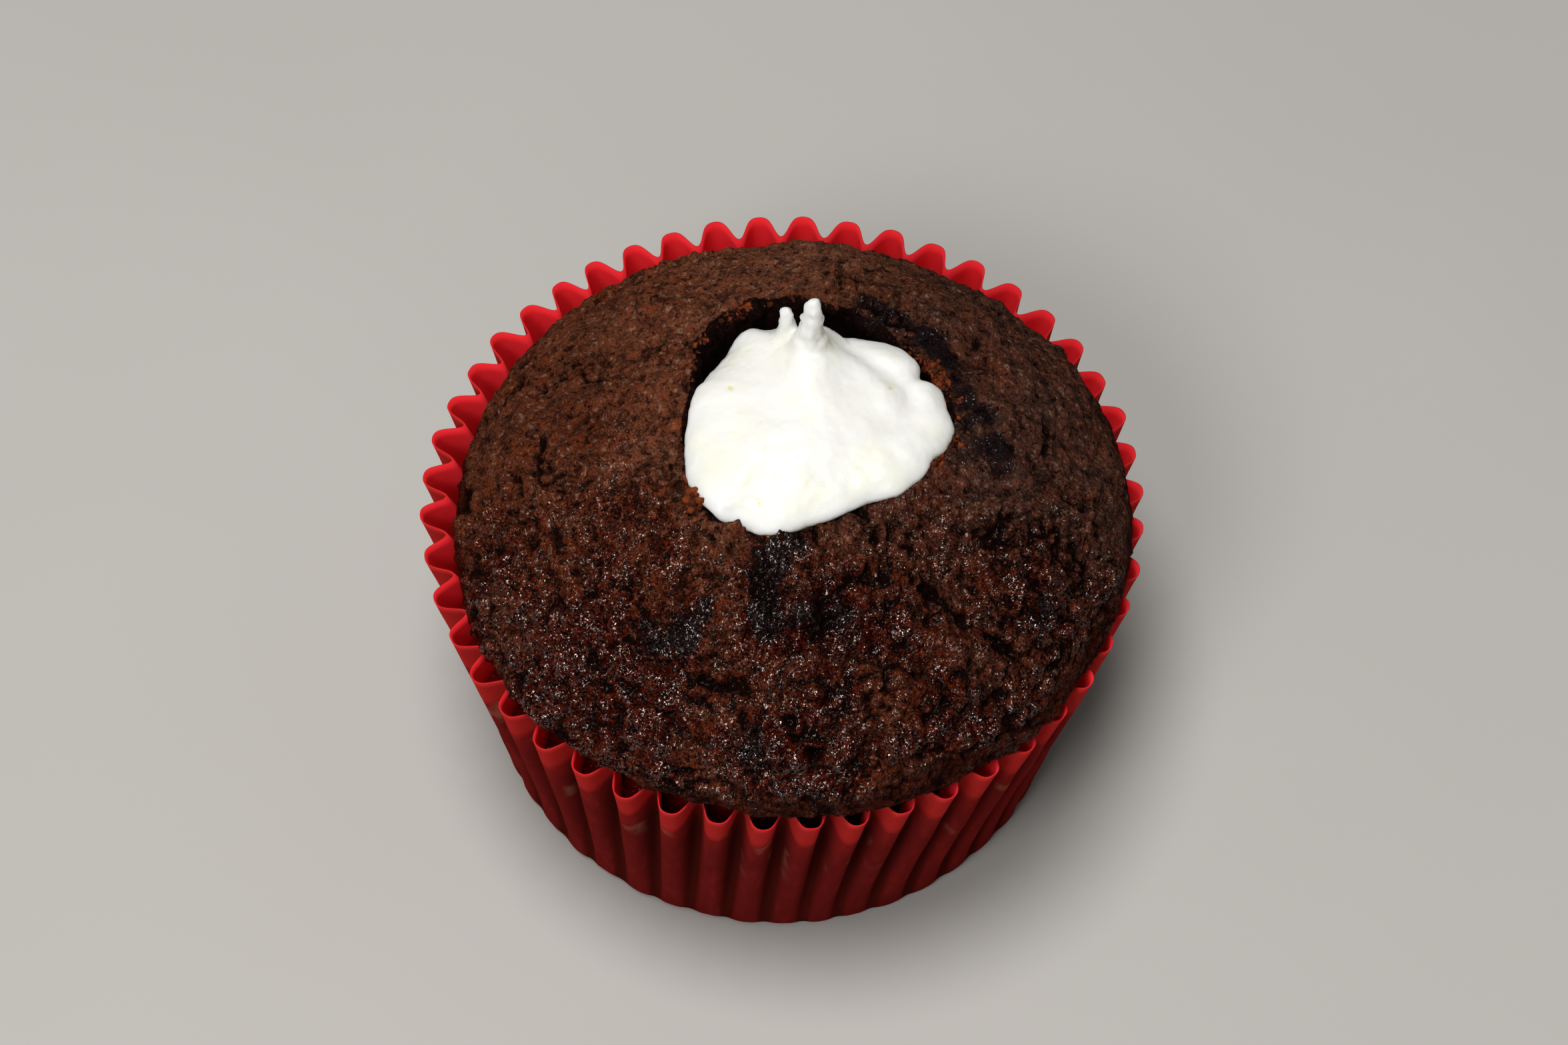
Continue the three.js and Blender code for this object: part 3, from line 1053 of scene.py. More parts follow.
    def build(self) -> bpy.types.Object:
        """The case as one closed thin wall, with the place on the paper kept on its vertices.

        Returns:
            The object.
        """
        outer, inner = self.side(0.0), self.side(self.paper)[::-1]
        grid = np.concatenate([outer, inner])
        columns = grid.shape[1]
        arch = np.broadcast_to(self.arch(round_the_turn(columns)), grid.shape[:2])
        inside = np.repeat([0.0, 1.0], [len(outer), len(inner)])[:, None] + np.zeros((1, columns))
        marks = {"arch": arch, "inside": inside, "drop": self.height - grid[..., 2]}
        poles = (np.array([0, 0, 0.0]), np.array([0, 0, self.paper]))
        return turned_object(Piece.CASE.label, grid, poles, marks)


@dataclass(frozen=True)
class Survey:
    """Where the points of the cake's smooth skin lie.

    kind is 0 under the edge of the cake, 1 on its dome and 2 in its hole. angle runs round the hole, and
    past_cut is how far outside the cut edge a point lies. The others are 1 in their regions and 0 elsewhere.
    """

    x: Array
    y: Array
    z: Array
    kind: Array
    angle: Array
    past_cut: Array
    front: Array
    front_left: Array
    open_side: Array


@dataclass
class Cake:
    """The domed cake with a hole cut in its top and a rough crust of crumbs."""

    case: PaperCase
    # the outline from above, and the dome
    middle: Place = (0.55, -2.6)
    radii: tuple[float, float] = (32.1, 30.5)
    radius: float = 31.5
    edge_height: float = 32.8
    sunk_angle: float = math.radians(-112)
    sunk_spread: float = 0.65
    sunk_depth: float = 3.0
    rise: float = 14.3
    roundness: float = 0.588
    edge_bulges: tuple[Bell, ...] = (Bell(132, 0.35, 0.65), Bell(-148, 0.4, -0.8), Bell(60, 0.28, -0.5))
    wave_count: int = 8
    wave_length: float = 15.0
    wave_height: float = 0.16
    # the hole
    hole_middle: Place = (2.5, 1.4)
    hole_radius: float = 12.1
    hole_bulges: tuple[Bell, ...] = (
        Bell(-36, 0.32, 2.3),
        Bell(27, 0.35, -1.4),
        Bell(-150, 0.49, 1.3),
        Bell(148, 0.35, -1.4),
    )
    hole_depth: float = 17.0
    floor_radius: float = 8.3
    lip: float = 0.5
    # the side: heights of its rows, and how far it fills the pleats at each of the next ones
    clearance: float = 0.1
    side_heights: tuple[float, ...] = (3.2, 10.0, 18.0, 23.4)
    flutes_filled: tuple[Bell, ...] = (Bell(-48, 0.42, 1.0),)
    flute_heights: tuple[float, ...] = (24.0, 25.6, 27.0, 27.7, 28.1, 28.2)
    flute_shares: tuple[float, ...] = (0.9, 1.0, 0.97, 0.8, 0.4, 0.0)
    flute_gap: float = 0.12
    # the mesh
    columns: int = 672
    dome_rows: int = 116
    wall_rows: int = 10
    curl_rows: int = 6
    # the relief: sizes, seeds and heights of its lumps, then the heights of the rest
    lump_sizes: tuple[float, ...] = (1.8, 1.0, 0.55)
    lump_seeds: tuple[int, ...] = (75, 79, 83)
    lump_shares: tuple[float, ...] = (0.6, 0.65, 0.42)
    lump_mean: float = 0.28
    lump_height: float = 1.3
    swell_height: float = 0.32
    crag_height: float = 0.85
    torn_height: float = 0.45
    crease_depth: float = 0.8
    crease_width: float = 0.5
    gap_width: float = 0.09
    dent_depth: float = 0.9
    # the regions of the crust, round the hole and from above
    bare_crumb: tuple[Bell, ...] = (
        Bell(-50, 0.12, 1.0),
        Bell(72, 0.16, 0.8),
        Bell(114, 0.14, 0.9),
        Bell(-145, 0.35, 0.35),
        Bell(-88, 0.35, 0.4),
    )
    broken_rim: tuple[Bell, ...] = (
        Bell(82, 0.22, 1.0),
        Bell(106, 0.16, 0.8),
        Bell(150, 0.30, 1.1),
        Bell(128, 0.2, 0.8),
    )
    dark_spots: tuple[Spot, ...] = (
        Spot(1.0, -12.2, 1.0, 0.9),
        Spot(-0.9, -13.6, 1.2, 1.0),
        Spot(-1.4, -15.6, 1.3, 1.0),
        Spot(-1.3, -17.8, 1.3, 1.0),
        Spot(-1.1, -19.8, 1.2, 0.9),
        Spot(2.4, -19.2, 1.5, 0.62),
        Spot(4.9, -18.6, 1.6, 0.62),
        Spot(-8.4, -20.0, 1.6, 1.0),
        Spot(-10.6, -20.8, 1.3, 0.9),
        Spot(-6.8, -18.4, 0.9, 0.8),
        Spot(6.3, 13.9, 1.2, 0.62),
        Spot(8.2, 12.6, 1.2, 0.66),
        Spot(10.2, 12.0, 0.8, 0.5),
        Spot(13.0, 10.6, 1.3, 0.75),
        Spot(14.2, 8.8, 1.0, 0.66),
        Spot(14.9, 6.4, 0.8, 0.5),
        Spot(16.2, 4.4, 1.2, 0.68),
        Spot(17.6, 2.4, 1.2, 0.66),
        Spot(19.0, -0.6, 1.4, 0.68),
        Spot(19.8, -2.6, 1.1, 0.6),
        Spot(-1.7, -28.9, 1.2, 0.7),
        Spot(23.4, -14.8, 1.5, 0.6),
    )
    dents: tuple[Oval, ...] = (Oval(-29.6, -2.4, 0.6, 1.3, 1.0), Oval(-22.6, 0.6, 0.4, 1.2, 0.5))
    creases: tuple[tuple[Place, ...], ...] = (
        ((11.5, -14.2), (15.5, -16.8), (18.4, -18.6), (20.9, -18.8)),
        ((-6.4, -24.0), (-4.8, -24.7), (-3.2, -24.4)),
        ((1.4, -26.8), (1.9, -28.0), (3.6, -29.6)),
    )

    def lumps(self, x: Array, y: Array) -> Array:
        """Long low waves in directions a golden angle apart, as the solid has them.

        Args:
            x: Places across.
            y: Places from front to back.

        Returns:
            Heights: a sum of sines, each shorter and lower than the one before.
        """
        total = np.zeros_like(x)
        for wave in range(self.wave_count):
            along = x * math.cos(2.4 * wave) + y * math.sin(2.4 * wave)
            total += np.sin(FULL_TURN / self.wave_length * 1.18**wave * along + 1.7 * wave) / 1.1**wave
        return self.wave_height * total

    def dome_height(self, share: Number, edge: Number) -> Array:
        """Height of the smooth dome: it rises from the edge with (1 - share squared) to the roundness."""
        rise = np.maximum(0, 1 - share**2) ** self.roundness
        return lerp(edge, self.edge_height + self.rise, rise)

    def side(self, height: Number, angle: Array) -> Array:
        """Points inside the case, a little away from its folds."""
        return polar(angle, self.case.fold_radius(height, angle) - self.case.paper - self.clearance, height)

    def edge(self, angle: Array) -> Array:
        """The widest ring of the cake.

        Args:
            angle: Angle from the front towards +X.

        Returns:
            Points of an oval with bulges, over the folds of the case. On the sunk side they blend into a
            ring that lies lower, inside the folds.
        """
        sunk = nearness(angle, self.sunk_angle, self.sunk_spread)
        over = polar(angle, 1.0, self.edge_height) * np.array([*self.radii, 1.0])
        over = over + np.array([*self.middle, 0.0])
        over = over + polar(angle, bulges(angle, self.edge_bulges), 0.0)
        inside = self.side(self.edge_height - self.sunk_depth, np.arctan2(over[..., 0], -over[..., 1]))
        ring = lerp(over, inside, sunk[..., None])
        ring[..., 2] = self.edge_height - self.sunk_depth * sunk
        return ring

    def dome(self, share: Array, angle: Array) -> Array:
        """Points of the dome.

        Args:
            share: How far out, from 0 in the middle of the hole to 1 at the widest ring.
            angle: Angle from the front towards +X.

        Returns:
            Points in rings that change from round the hole to round the cake, at the dome's height plus its
            low waves, which fade at the edge.
        """
        edge = self.edge(angle)
        round_hole = polar(angle, share * self.radius, 0.0, self.hole_middle)[..., :2]
        round_cake = lerp(np.array(self.hole_middle), edge[..., :2], share[..., None])
        blend = ease(share, self.hole_radius / self.radius, 1.0)[..., None]
        flat = lerp(round_hole, round_cake, blend)
        uneven = self.lumps(flat[..., 0], flat[..., 1]) * ease(1 - share, 0.0, 0.1)
        height = self.dome_height(share, edge[..., 2]) + uneven
        return np.concatenate([flat, height[..., None]], axis=-1)

    def hole_edge(self, angle: Array) -> Array:
        """Radius of the cut: roughly round, with a corner at the front left and flats on the right."""
        waves = 0.22 * np.sin(5 * angle + 0.6) + 0.14 * np.sin(9 * angle + 2)
        return self.hole_radius + bulges(angle, self.hole_bulges) + waves

    def cut_height(self, angle: Array) -> Array:
        """Height of the cut edge."""
        return self.dome(self.hole_edge(angle) / self.radius, angle)[..., 2]

    def floor_height(self) -> float:
        """Height of the floor of the hole."""
        return float(self.dome_height(self.hole_radius / self.radius, self.edge_height)) - self.hole_depth

    def hole_wall(self, share: Array, angle: Array) -> Array:
        """The wall of the hole, a straight taper.

        Args:
            share: From 0 under the cut edge down to 1 at the floor.
            angle: Angle round the hole.

        Returns:
            The points.
        """
        radius = lerp(self.hole_edge(angle) - self.lip, self.floor_radius, share)
        height = lerp(self.cut_height(angle) - self.lip, self.floor_height(), share)
        return polar(angle, radius, height, self.hole_middle)

    def even_shares(self, start: float) -> Array:
        """Shares from the edge to the cut, spaced evenly along the profile of the dome.

        Args:
            start: Share at the cut.

        Returns:
            The shares, a row of points each, read off the lengths along a finely divided profile.
        """
        fine = 1 - np.linspace(0, 1, 4000) ** 2.4 * (1 - start)
        profile = np.stack([fine * self.radius, self.dome_height(fine, self.edge_height)], axis=-1)
        length = np.append(0, np.cumsum(np.linalg.norm(np.diff(profile, axis=0), axis=-1)))
        return np.interp(np.linspace(0, length[-1], self.dome_rows), length, fine)

    def underside(self, edge: Array) -> list[Array]:
        """The cake below its widest ring.

        Args:
            edge: The widest ring.

        Returns:
            Rings from the base up inside the case, swollen into its pleats where those are filled, then
            curling to the edge: outwards by the sin and up by the cos of a share of a right angle.
        """
        turn = np.arctan2(edge[..., 0], -edge[..., 1])
        low = self.case.paper + self.clearance
        rings = [polar(turn, radius, low) for radius in (12.0, self.case.flat_radius - 1)]
        rings += [self.side(height, turn) for height in self.side_heights]
        filled = bulges(turn, self.flutes_filled)[..., None]
        for height, share in zip(self.flute_heights, self.flute_shares):
            full = polar(turn, self.case.inner_radius(height, turn) - self.flute_gap, height)
            rings.append(lerp(self.side(height, turn), full, share * filled))
        neck = self.side(self.case.height - self.case.flare_reach, turn)
        under = np.minimum(self.case.height + 0.2, edge[..., 2] - 0.5)
        for step in np.linspace(0, 1, self.curl_rows + 1)[:-1]:
            ring = lerp(neck, edge, np.sin(step * math.pi / 2))
            ring[..., 2] = lerp(edge[..., 2], under, np.cos(step * math.pi / 2))
            rings.append(ring)
        return rings

    def skin(self) -> tuple[Array, Array]:
        """The smooth surface from the middle of the base to the middle of the hole's floor.

        Returns:
            The points in rows and columns, and for each row its kind: 0 under the edge, 1 on the dome, 2 in
            the hole.
        """
        angle = round_the_turn(self.columns)[None]
        below = self.underside(self.edge(angle))
        start = self.hole_radius / self.radius
        shares = self.even_shares(start)[:, None]
        rows = 1 - (1 - shares) / (1 - start) * (1 - self.hole_edge(angle) / self.radius)
        dome = self.dome(rows, angle)
        lip = self.dome((self.hole_edge(angle) - 0.2) / self.radius, angle)
        lip[..., 2] -= 0.1
        wall = self.hole_wall(np.linspace(0, 1, self.wall_rows)[:, None] ** 1.8, angle)
        bottom = self.floor_height()
        floor = [polar(angle, self.floor_radius * share, bottom, self.hole_middle) for share in (0.66, 0.33)]
        grid = np.concatenate([*below, dome, lip, wall, *floor])
        kind = np.repeat([0, 1, 2], [len(below), len(dome), len(grid) - len(below) - len(dome)])
        return grid, kind

    def nearest_crease(self, flat: Array) -> Array:
        """Distance to the nearest of the drawn creases, each a line through a few points.

        Args:
            flat: Places across and from front to back.

        Returns:
            Distances in millimetres, one a place.
        """
        away = np.full(flat.shape[:-1], 99.0)
        for line in self.creases:
            for start, end in zip(np.array(line)[:-1], np.array(line)[1:]):
                along = end - start
                share = np.clip(((flat - start) @ along) / (along @ along), 0, 1)
                away = np.minimum(away, np.linalg.norm(flat - start - share[..., None] * along, axis=-1))
        return away

    def hollows(self, points: Array) -> Array:
        """Single deep pits, exp(-away squared) inside their ovals.

        Args:
            points: Points of the smooth surface.

        Returns:
            Their depth, 0 below the rim of the case.
        """
        total = np.zeros(points.shape[:-1])
        for dent in self.dents:
            across = (points[..., 0] - dent.x) / dent.width
            along = (points[..., 1] - dent.y) / dent.length
            total += dent.height * np.exp(-(across**2 + along**2)) * (points[..., 2] > self.case.height - 2)
        return total

    def relief_and_painted_shade(self, points: Array, band: Array, torn: Array, coarse: Array) -> tuple[Array, Array]:
        """The crumb of the crust.

        Args:
            points: Points of the smooth surface.
            band: 1 on the smooth side band and below it, 0 above.
            torn: 1 where the cake was cut open.
            coarse: 1 where the crumb is open and lumpy, 0 where it baked smooth.

        Returns:
            Height along the normal in millimetres: soft swells, crags, and lumps of three sizes, each soft
            noise without its sign, with creases, pits and hollows cut in. Then the same from -1 to 1 for the
            colours, low in the gaps between the lumps and in the pits, creases and hollows, where the
            crust's colour paints shade.
        """
        warped = Grain.stir(points, 1.8, 3, 0.8, (61, 62, 63))
        swell = Grain.rough(points, 5.5, 2, 87)
        crag = Grain.rough(warped, 2.2, 3, 71)
        lumps = [np.abs(Grain.soft(warped, *kind)) for kind in zip(self.lump_sizes, self.lump_seeds)]
        heap = sum(share * (lump - self.lump_mean) for share, lump in zip(self.lump_shares, lumps))
        painted_gap_shade = [np.exp(-((lump / self.gap_width) ** 2)) for lump in lumps]
        broken = ease(Grain.soft(points, 1.9, 97), -0.3, 0.35)
        between = (0.8 * painted_gap_shade[0] + 0.6 * painted_gap_shade[1]) * broken + 0.3 * painted_gap_shade[2]
        pits = ease(Grain.soft(points, 0.95, 91), 0.6, 0.8) + ease(Grain.soft(points, 1.7, 93), 0.7, 0.85)
        away = self.nearest_crease(points[..., :2] + 0.8 * np.stack([crag, lumps[1]], axis=-1))
        crease = np.exp(-((away / self.crease_width) ** 2)) * (0.4 + 0.6 * ease(-crag, -0.4, 0.3))
        dent = self.hollows(points)
        open_crumb = ease(0.6 * Grain.soft(points, 4.5, 89) + coarse, 0.0, 1.0)
        rough = lerp(0.32, 1.0, open_crumb) * (1 - 0.6 * band)
        height = self.swell_height * swell + rough * (self.crag_height * crag + self.lump_height * heap)
        height = height - (0.12 + 0.2 * coarse) * pits - self.crease_depth * crease
        height = height + torn * self.torn_height * Grain.rough(points, 1.3, 3, 95) - self.dent_depth * dent
        shown = lerp(0.5, 1.0, open_crumb)
        # the tone falls in the gaps, pits, creases and hollows, where the crust's colour paints shade
        tone = shown * (0.75 * crag + 1.1 * heap) - between * open_crumb - 0.6 * pits - 1.3 * crease + 0.14
        return height, np.clip((tone - 1.6 * dent) * (1 - 0.5 * band), -1, 1)

    def survey(self, points: Array, kind: Array) -> Survey:
        """Where the points of the smooth skin lie.

        Args:
            points: The points, in rows and columns.
            kind: Kind of each row.

        Returns:
            Their places and how much of each region of the crust they belong to.
        """
        x, y, z = np.moveaxis(points, -1, 0)
        east, north = x - self.hole_middle[0], y - self.hole_middle[1]
        angle = np.arctan2(east, -north)
        return Survey(
            x=x,
            y=y,
            z=z,
            kind=kind[:, None] + np.zeros(x.shape),
            angle=angle,
            past_cut=np.hypot(east, north) - self.hole_edge(angle),
            front=ease(-y + 3.5 * Grain.soft(points, 4.0, 99), -4.0, 14.0),
            front_left=nearness(np.arctan2(x, -y), math.radians(-38), 0.5),
            open_side=ease(-x, 4.0, 20.0) * ease(-y, -20.0, -4.0),
        )

    def cut_marks(self, spot: Survey, points: Array) -> tuple[Array, Array]:
        """How much of the cut shows.

        Args:
            spot: Where the points lie.
            points: Points of the smooth skin.

        Returns:
            1 on the dark wall of the hole, with a ragged edge, and 1 on bare torn crumb along the cut.
        """
        ragged = 0.5 + 1.1 * Grain.rough(points, 2.2, 2, 101)
        wall = np.where(spot.kind == 2, 1.0, ease(ragged - spot.past_cut, 0.0, 0.8) * (spot.kind == 1))
        bare = bulges(spot.angle, self.bare_crumb)
        lip = np.exp(-(((spot.past_cut - 0.1) / (0.4 + 0.7 * bare)) ** 2))
        lip = lip * (spot.z > self.cut_height(spot.angle) - 1.6)
        torn = np.clip(bare + 0.3 * Grain.rough(points, 1.8, 2, 105), 0, 1) * lip * (spot.kind > 0)
        return wall, torn

    def side_band(self, spot: Survey, points: Array) -> Array:
        """The smooth dark band along the edge of the cake, narrower at the front left.

        Args:
            spot: Where the points lie.
            points: Points of the smooth skin.

        Returns:
            1 on the band and below it, 0 above.
        """
        reach = 3.4 * (1 - 0.8 * spot.front_left)
        top = self.edge(spot.angle)[..., 2] + reach + 0.9 * Grain.soft(points, 4.0, 103)
        return np.where(spot.kind == 0, 1.0, ease(top - spot.z, 0.0, 1.6))

    def wetness(self, spot: Survey, points: Array, band: Array) -> Array:
        """How moist the crust is.

        Args:
            spot: Where the points lie.
            points: Points of the crust.
            band: 1 on the side band.

        Returns:
            Nearly 1 at the front, more at the outer front left, and little at the back and along the cut.
        """
        damp = 0.13 * spot.open_side
        uneven = 0.75 + 0.5 * Grain.rough(points, 5.0, 2, 107)
        wet = (0.08 + damp + (0.92 - damp) * spot.front) * (1 - 0.6 * band) * uneven
        wet = wet * (1 + 0.4 * spot.front_left * ease(np.hypot(spot.x, spot.y), 22.0, 29.0))
        dry = 0.15 + 0.75 * nearness(spot.angle, math.radians(-85), 0.6)
        return wet * (1 - dry * np.exp(-((spot.past_cut / 3.5) ** 2)))

    def warmth(self, spot: Survey, points: Array) -> Array:
        """How reddish the crust is.

        Args:
            spot: Where the points lie.
            points: Points of the crust.

        Returns:
            More on the left and low at the front, and uneven all over.
        """
        left = 0.45 * (ease(-spot.x, -6.0, 26.0) * ease(spot.y, -26.0, -8.0))
        low_front = 0.40 * ease(-spot.y, 10.0, 20.0) * ease(spot.x, -26.0, -8.0)
        return 0.20 + left + low_front + 0.35 * Grain.rough(points, 6.0, 2, 109)

    def duskiness_and_painted_shading(self, spot: Survey) -> Array:
        """How dusky the crust is.

        Args:
            spot: Where the points lie.

        Returns:
            More on the right, where this is painted shade, and in a patch on the left, and below 0, which is
            dry and pale, at the back, where the paleness is painted light, and along the cut.
        """
        # painted shade: darker on the right
        right = ease(spot.x, -4.0, 16.0) * (1 - 0.4 * ease(-spot.y, 6.0, 18.0))
        left_patch = 0.55 * np.exp(-(((spot.x + 22) / 6) ** 2) - ((spot.y - 4) / 7) ** 2)
        # painted light: paler and brighter at the back
        back = 1.1 * ease(spot.y, 8.0, 22.0) * ease(-spot.x, -16.0, 0.0)
        along_cut = 1.6 * np.exp(-((spot.past_cut / 7.0) ** 2)) * ease(-spot.x, 0.0, 9.0)
        return right + left_patch - back - along_cut

    def broken_marks(self, spot: Survey, points: Array) -> tuple[Array, Array]:
        """The broken rim of the cut.

        Args:
            spot: Where the points lie.
            points: Points of the crust.

        Returns:
            How blackish the belt along the rim is, and how much bare crumb shows in it.
        """
        away = np.exp(-(((spot.past_cut - 1.7) / 1.9) ** 2))
        belt = bulges(spot.angle, self.broken_rim) * away * (spot.kind == 1)
        crumbled = belt * ease(Grain.rough(points, 1.2, 2, 119), 0.05, 0.45)
        crumbled = crumbled * np.exp(-((spot.past_cut / 1.9) ** 2))
        return belt * ease(Grain.rough(points, 1.1, 3, 117), -0.5, 0.2), crumbled

    def build(self) -> bpy.types.Object:
        """The cake as one closed piece, with its kinds of crust kept on its vertices.

        Returns:
            The object.
        """
        smooth, kind = self.skin()
        spot = self.survey(smooth, kind)
        wall, torn = self.cut_marks(spot, smooth)
        band = self.side_band(spot, smooth)
        coarse = np.clip(0.22 + 0.78 * spot.front + 0.45 * spot.open_side, 0, 1)
        height, tone = self.relief_and_painted_shade(smooth, band, wall, coarse)
        rim = self.case.height
        above = np.where(spot.kind == 0, ease(spot.z, rim + 0.1, rim + 0.8), 1.0)
        grid = smooth + grid_normals(smooth) * (height * above)[..., None]
        belt, crumbled = self.broken_marks(spot, grid)
        patch = np.clip(self.patches(grid) + 0.30 * belt, 0, 1)
        marks = {
            # the tone, which paints shade on the crust where it is low
            "relief_and_painted_shade": tone,
            "patch": patch,
            "torn": np.clip(torn + 0.45 * crumbled, 0, 1),
            "wall": wall,
            # above 1 below the rim of the case, where the crust is painted with red light from the paper
            "band": band + np.where(spot.kind == 0, ease(rim - spot.z, -0.3, 1.5), 0.0),
            "wet": self.wetness(spot, grid, band) + 0.45 * patch,
            "warm": self.warmth(spot, grid),
            # above 0 dusky, painted shade on the right; below 0 pale, painted light on the back
            "dusk_and_painted_shading": self.duskiness_and_painted_shading(spot),
        }
        poles = (
            np.array([0, 0, self.case.paper + self.clearance]),
            np.array([*self.hole_middle, self.floor_height()]),
        )
        return turned_object(Piece.CAKE.label, grid, poles, marks)

    def patches(self, points: Array) -> Array:
        """How blackish the crust is round the dark spots.

        Args:
            points: Points of the crust.

        Returns:
            From 0 to 1 on the dome: the highest of the spots' bells, exp(-away squared), made ragged.
        """
        warped = Grain.stir(points, 1.6, 3, 1.3, (111, 113, 115))
        total = np.zeros(points.shape[:-1])
        for spot in self.dark_spots:
            away = np.hypot(warped[..., 0] - spot.x, warped[..., 1] - spot.y)
            total = np.maximum(total, spot.strength * np.exp(-((away / (1.35 * spot.reach)) ** 2)))
        return total * (points[..., 2] > self.edge_height)


@dataclass
class Cream:
    """The dollop: a swirled mound that fills the hole, with two pulled-up tips."""

    cake: Cake
    top: float = 3.2
    radius: float = 13.2
    outline: tuple[Bell, ...] = (
        Bell(-35, 0.33, 2.0),
        Bell(-28, 0.14, -0.6),
        Bell(27, 0.44, -2.0),
        Bell(-175, 1.0, -4.7),
        Bell(-143, 0.2, 2.2),
        Bell(113, 0.06, -0.9),
        Bell(82, 0.1, 0.5),
        Bell(40, 0.09, 0.4),
        Bell(66, 0.07, -0.35),
    )
    drop: float = 0.5
    roundness: float = 0.6
    wall_gap: float = 0.25
    floor_gap: float = 0.3
    # what rises from the mound and what is pressed into it, from above
    ridge: Oval = Oval(1.6, 4.4, 2.6, 4.2, 1.3)
    tall_peak: Peak = Peak(1.6, 6.3, 0.80, 0.9, 2.3, -1.8, 8.0, 0.7)
    short_peak: Peak = Peak(-0.75, 8.3, 0.60, 0.45, 1.4, -3.0, 5.6, 0.4)
    trough: tuple[Place, ...] = (
        (3.6, 8.4),
        (5.4, 7.0),
        (7.2, 5.7),
        (9.3, 4.4),
        (10.9, 2.5),
        (11.1, 0.6),
        (9.6, -0.9),
        (7.8, -1.5),
    )
    trough_width: float = 1.15
    trough_depth: float = 0.75
    pits: tuple[Pit, ...] = (
        Pit(-5.5, 2.1, 0.38, 0.8, 0.9),
        Pit(-2.6, -1.8, 0.22, 1.6, 0.6),
        Pit(-0.6, 4.3, 0.30, 3.2, 0.45),
        Pit(-2.3, 5.6, 0.55, 1.6, 0.25),
        Pit(4.7, 1.8, 0.26, 0.9, 0.6),
        Pit(9.1, 3.1, 0.30, 0.9, 1.0),
        Pit(3.6, -7.6, 0.32, 0.9, 0.5),
        Pit(-2.3, -9.4, 0.16, 3.2, 0.8),
        Pit(-2.2, -9.0, 0.34, 0.5, 0.7),
        Pit(-0.8, -9.7, 0.26, 0.5, 0.5),
        Pit(-4.1, 7.1, 0.60, 0.5, 0.5),
        Pit(-5.8, 4.7, 0.50, 0.6, 0.4),
        Pit(1.7, 0.1, 0.50, 1.4, 0.2),
        Pit(7.0, -0.7, 0.40, 0.8, 0.2),
    )
    pit_depth: float = 0.16
    # the mesh
    voxel: float = 0.22
    columns: int = 240
    mound_rows: int = 59
    peak_points: int = 40

    def crown(self) -> float:
        """Height of the middle of the mound."""
        share = self.cake.hole_radius / self.cake.radius
        return float(self.cake.dome_height(share, self.cake.edge_height)) + self.top

    def shortfall(self, angle: Array) -> Array:
        """How far the cream stops short of the wall of the hole; at the front it spills over the cut."""
        wall = self.cake.hole_edge(angle) - self.cake.lip - self.wall_gap
        return np.maximum(0, wall - self.radius - bulges(angle, self.outline))

    def rim(self, angle: Array) -> Array:
        """The edge of the mound.

        Args:
            angle: Angle round the hole.

        Returns:
            Points at the mound's radius plus the bulges of its outline, lower where the cream stops short.
        """
        radius = self.radius + bulges(angle, self.outline)
        height = self.cake.cut_height(angle) + 0.3 - self.drop * self.shortfall(angle)
        ring = polar(angle, radius, height, self.cake.hole_middle)
        radius = radius + 0.36 * Grain.rough(ring, 2.2, 3, 211)
        return polar(angle, radius, height, self.cake.hole_middle)

    def fold_depth(self, flat: Array) -> Array:
        """How deep the swirled fold lies: a soft groove along a rounded line, which fades at both ends.

        Args:
            flat: Places across and from front to back.

        Returns:
            From 0 to 1: the highest of exp(-away squared) over the places along the line.
        """
        line = np.array(self.trough)
        knots, fine = np.linspace(0, 1, len(line)), np.linspace(0, 1, 160)
        soft = np.ones(25) / 25
        path = [np.pad(np.interp(fine, knots, line[:, k]), 12, "edge") for k in (0, 1)]
        path = np.stack([np.convolve(way, soft, "valid") for way in path], axis=-1)
        fade = np.sin(np.pi * fine) ** 0.5
        depth = np.zeros(flat.shape[:-1])
        for place, strength in zip(path, fade):
            away = np.linalg.norm(flat - place, axis=-1)
            depth = np.maximum(depth, strength * np.exp(-((away / self.trough_width) ** 2)))
        return depth

    def mound(self, share: Array, angle: Array) -> Array:
        """The mound, with a ridge raised and the fold pressed in.

        Args:
            share: From 1 at its edge to 0 in its middle.
            angle: Angle round the hole.

        Returns:
            Points at the height of the edge plus (1 - share^2.2)^roundness of the way up to the crown.
        """
        rim = self.rim(angle)
        flat = lerp(np.array(self.cake.hole_middle), rim[..., :2], share[..., None])
        rise = np.maximum(0, 1 - share**2.2) ** self.roundness
        height = lerp(rim[..., 2], self.crown(), rise)
        swell = 0.22 * np.sin(2 * angle + 5 * share) * np.sin(np.pi * share)
        across = (flat[..., 0] - self.ridge.x) / self.ridge.width
        along = (flat[..., 1] - self.ridge.y) / self.ridge.length
        ridge = self.ridge.height * np.exp(-(across**2) - along**2) * ease(1 - share, 0.0, 0.3)
        fold = self.trough_depth * self.fold_depth(flat) * ease(1 - share, 0.0, 0.15)
        height = height + swell + ridge - fold
        return np.concatenate([flat, height[..., None]], axis=-1)

    def plug(self, share: float, angle: Array) -> Array:
        """The part in the hole, a little away from its wall.

        Args:
            share: From 0 at the top of the hole to 1 at its floor.
            angle: Angle round the hole.

        Returns:
            Points of the hole's wall, moved inwards, and by what the cream falls short near the top.
        """
        wall = self.cake.hole_wall(np.full_like(angle, share), angle)
        short = self.shortfall(angle) * (1 - share)
        middle = np.array([*self.cake.hole_middle, 0.0])
        away = np.linalg.norm((wall - middle)[..., :2], axis=-1)
        scale = (away - self.wall_gap - short) / away
        flat = lerp(middle[:2], wall[..., :2], scale[..., None])
        return np.concatenate([flat, wall[..., 2:] + self.floor_gap * share], axis=-1)

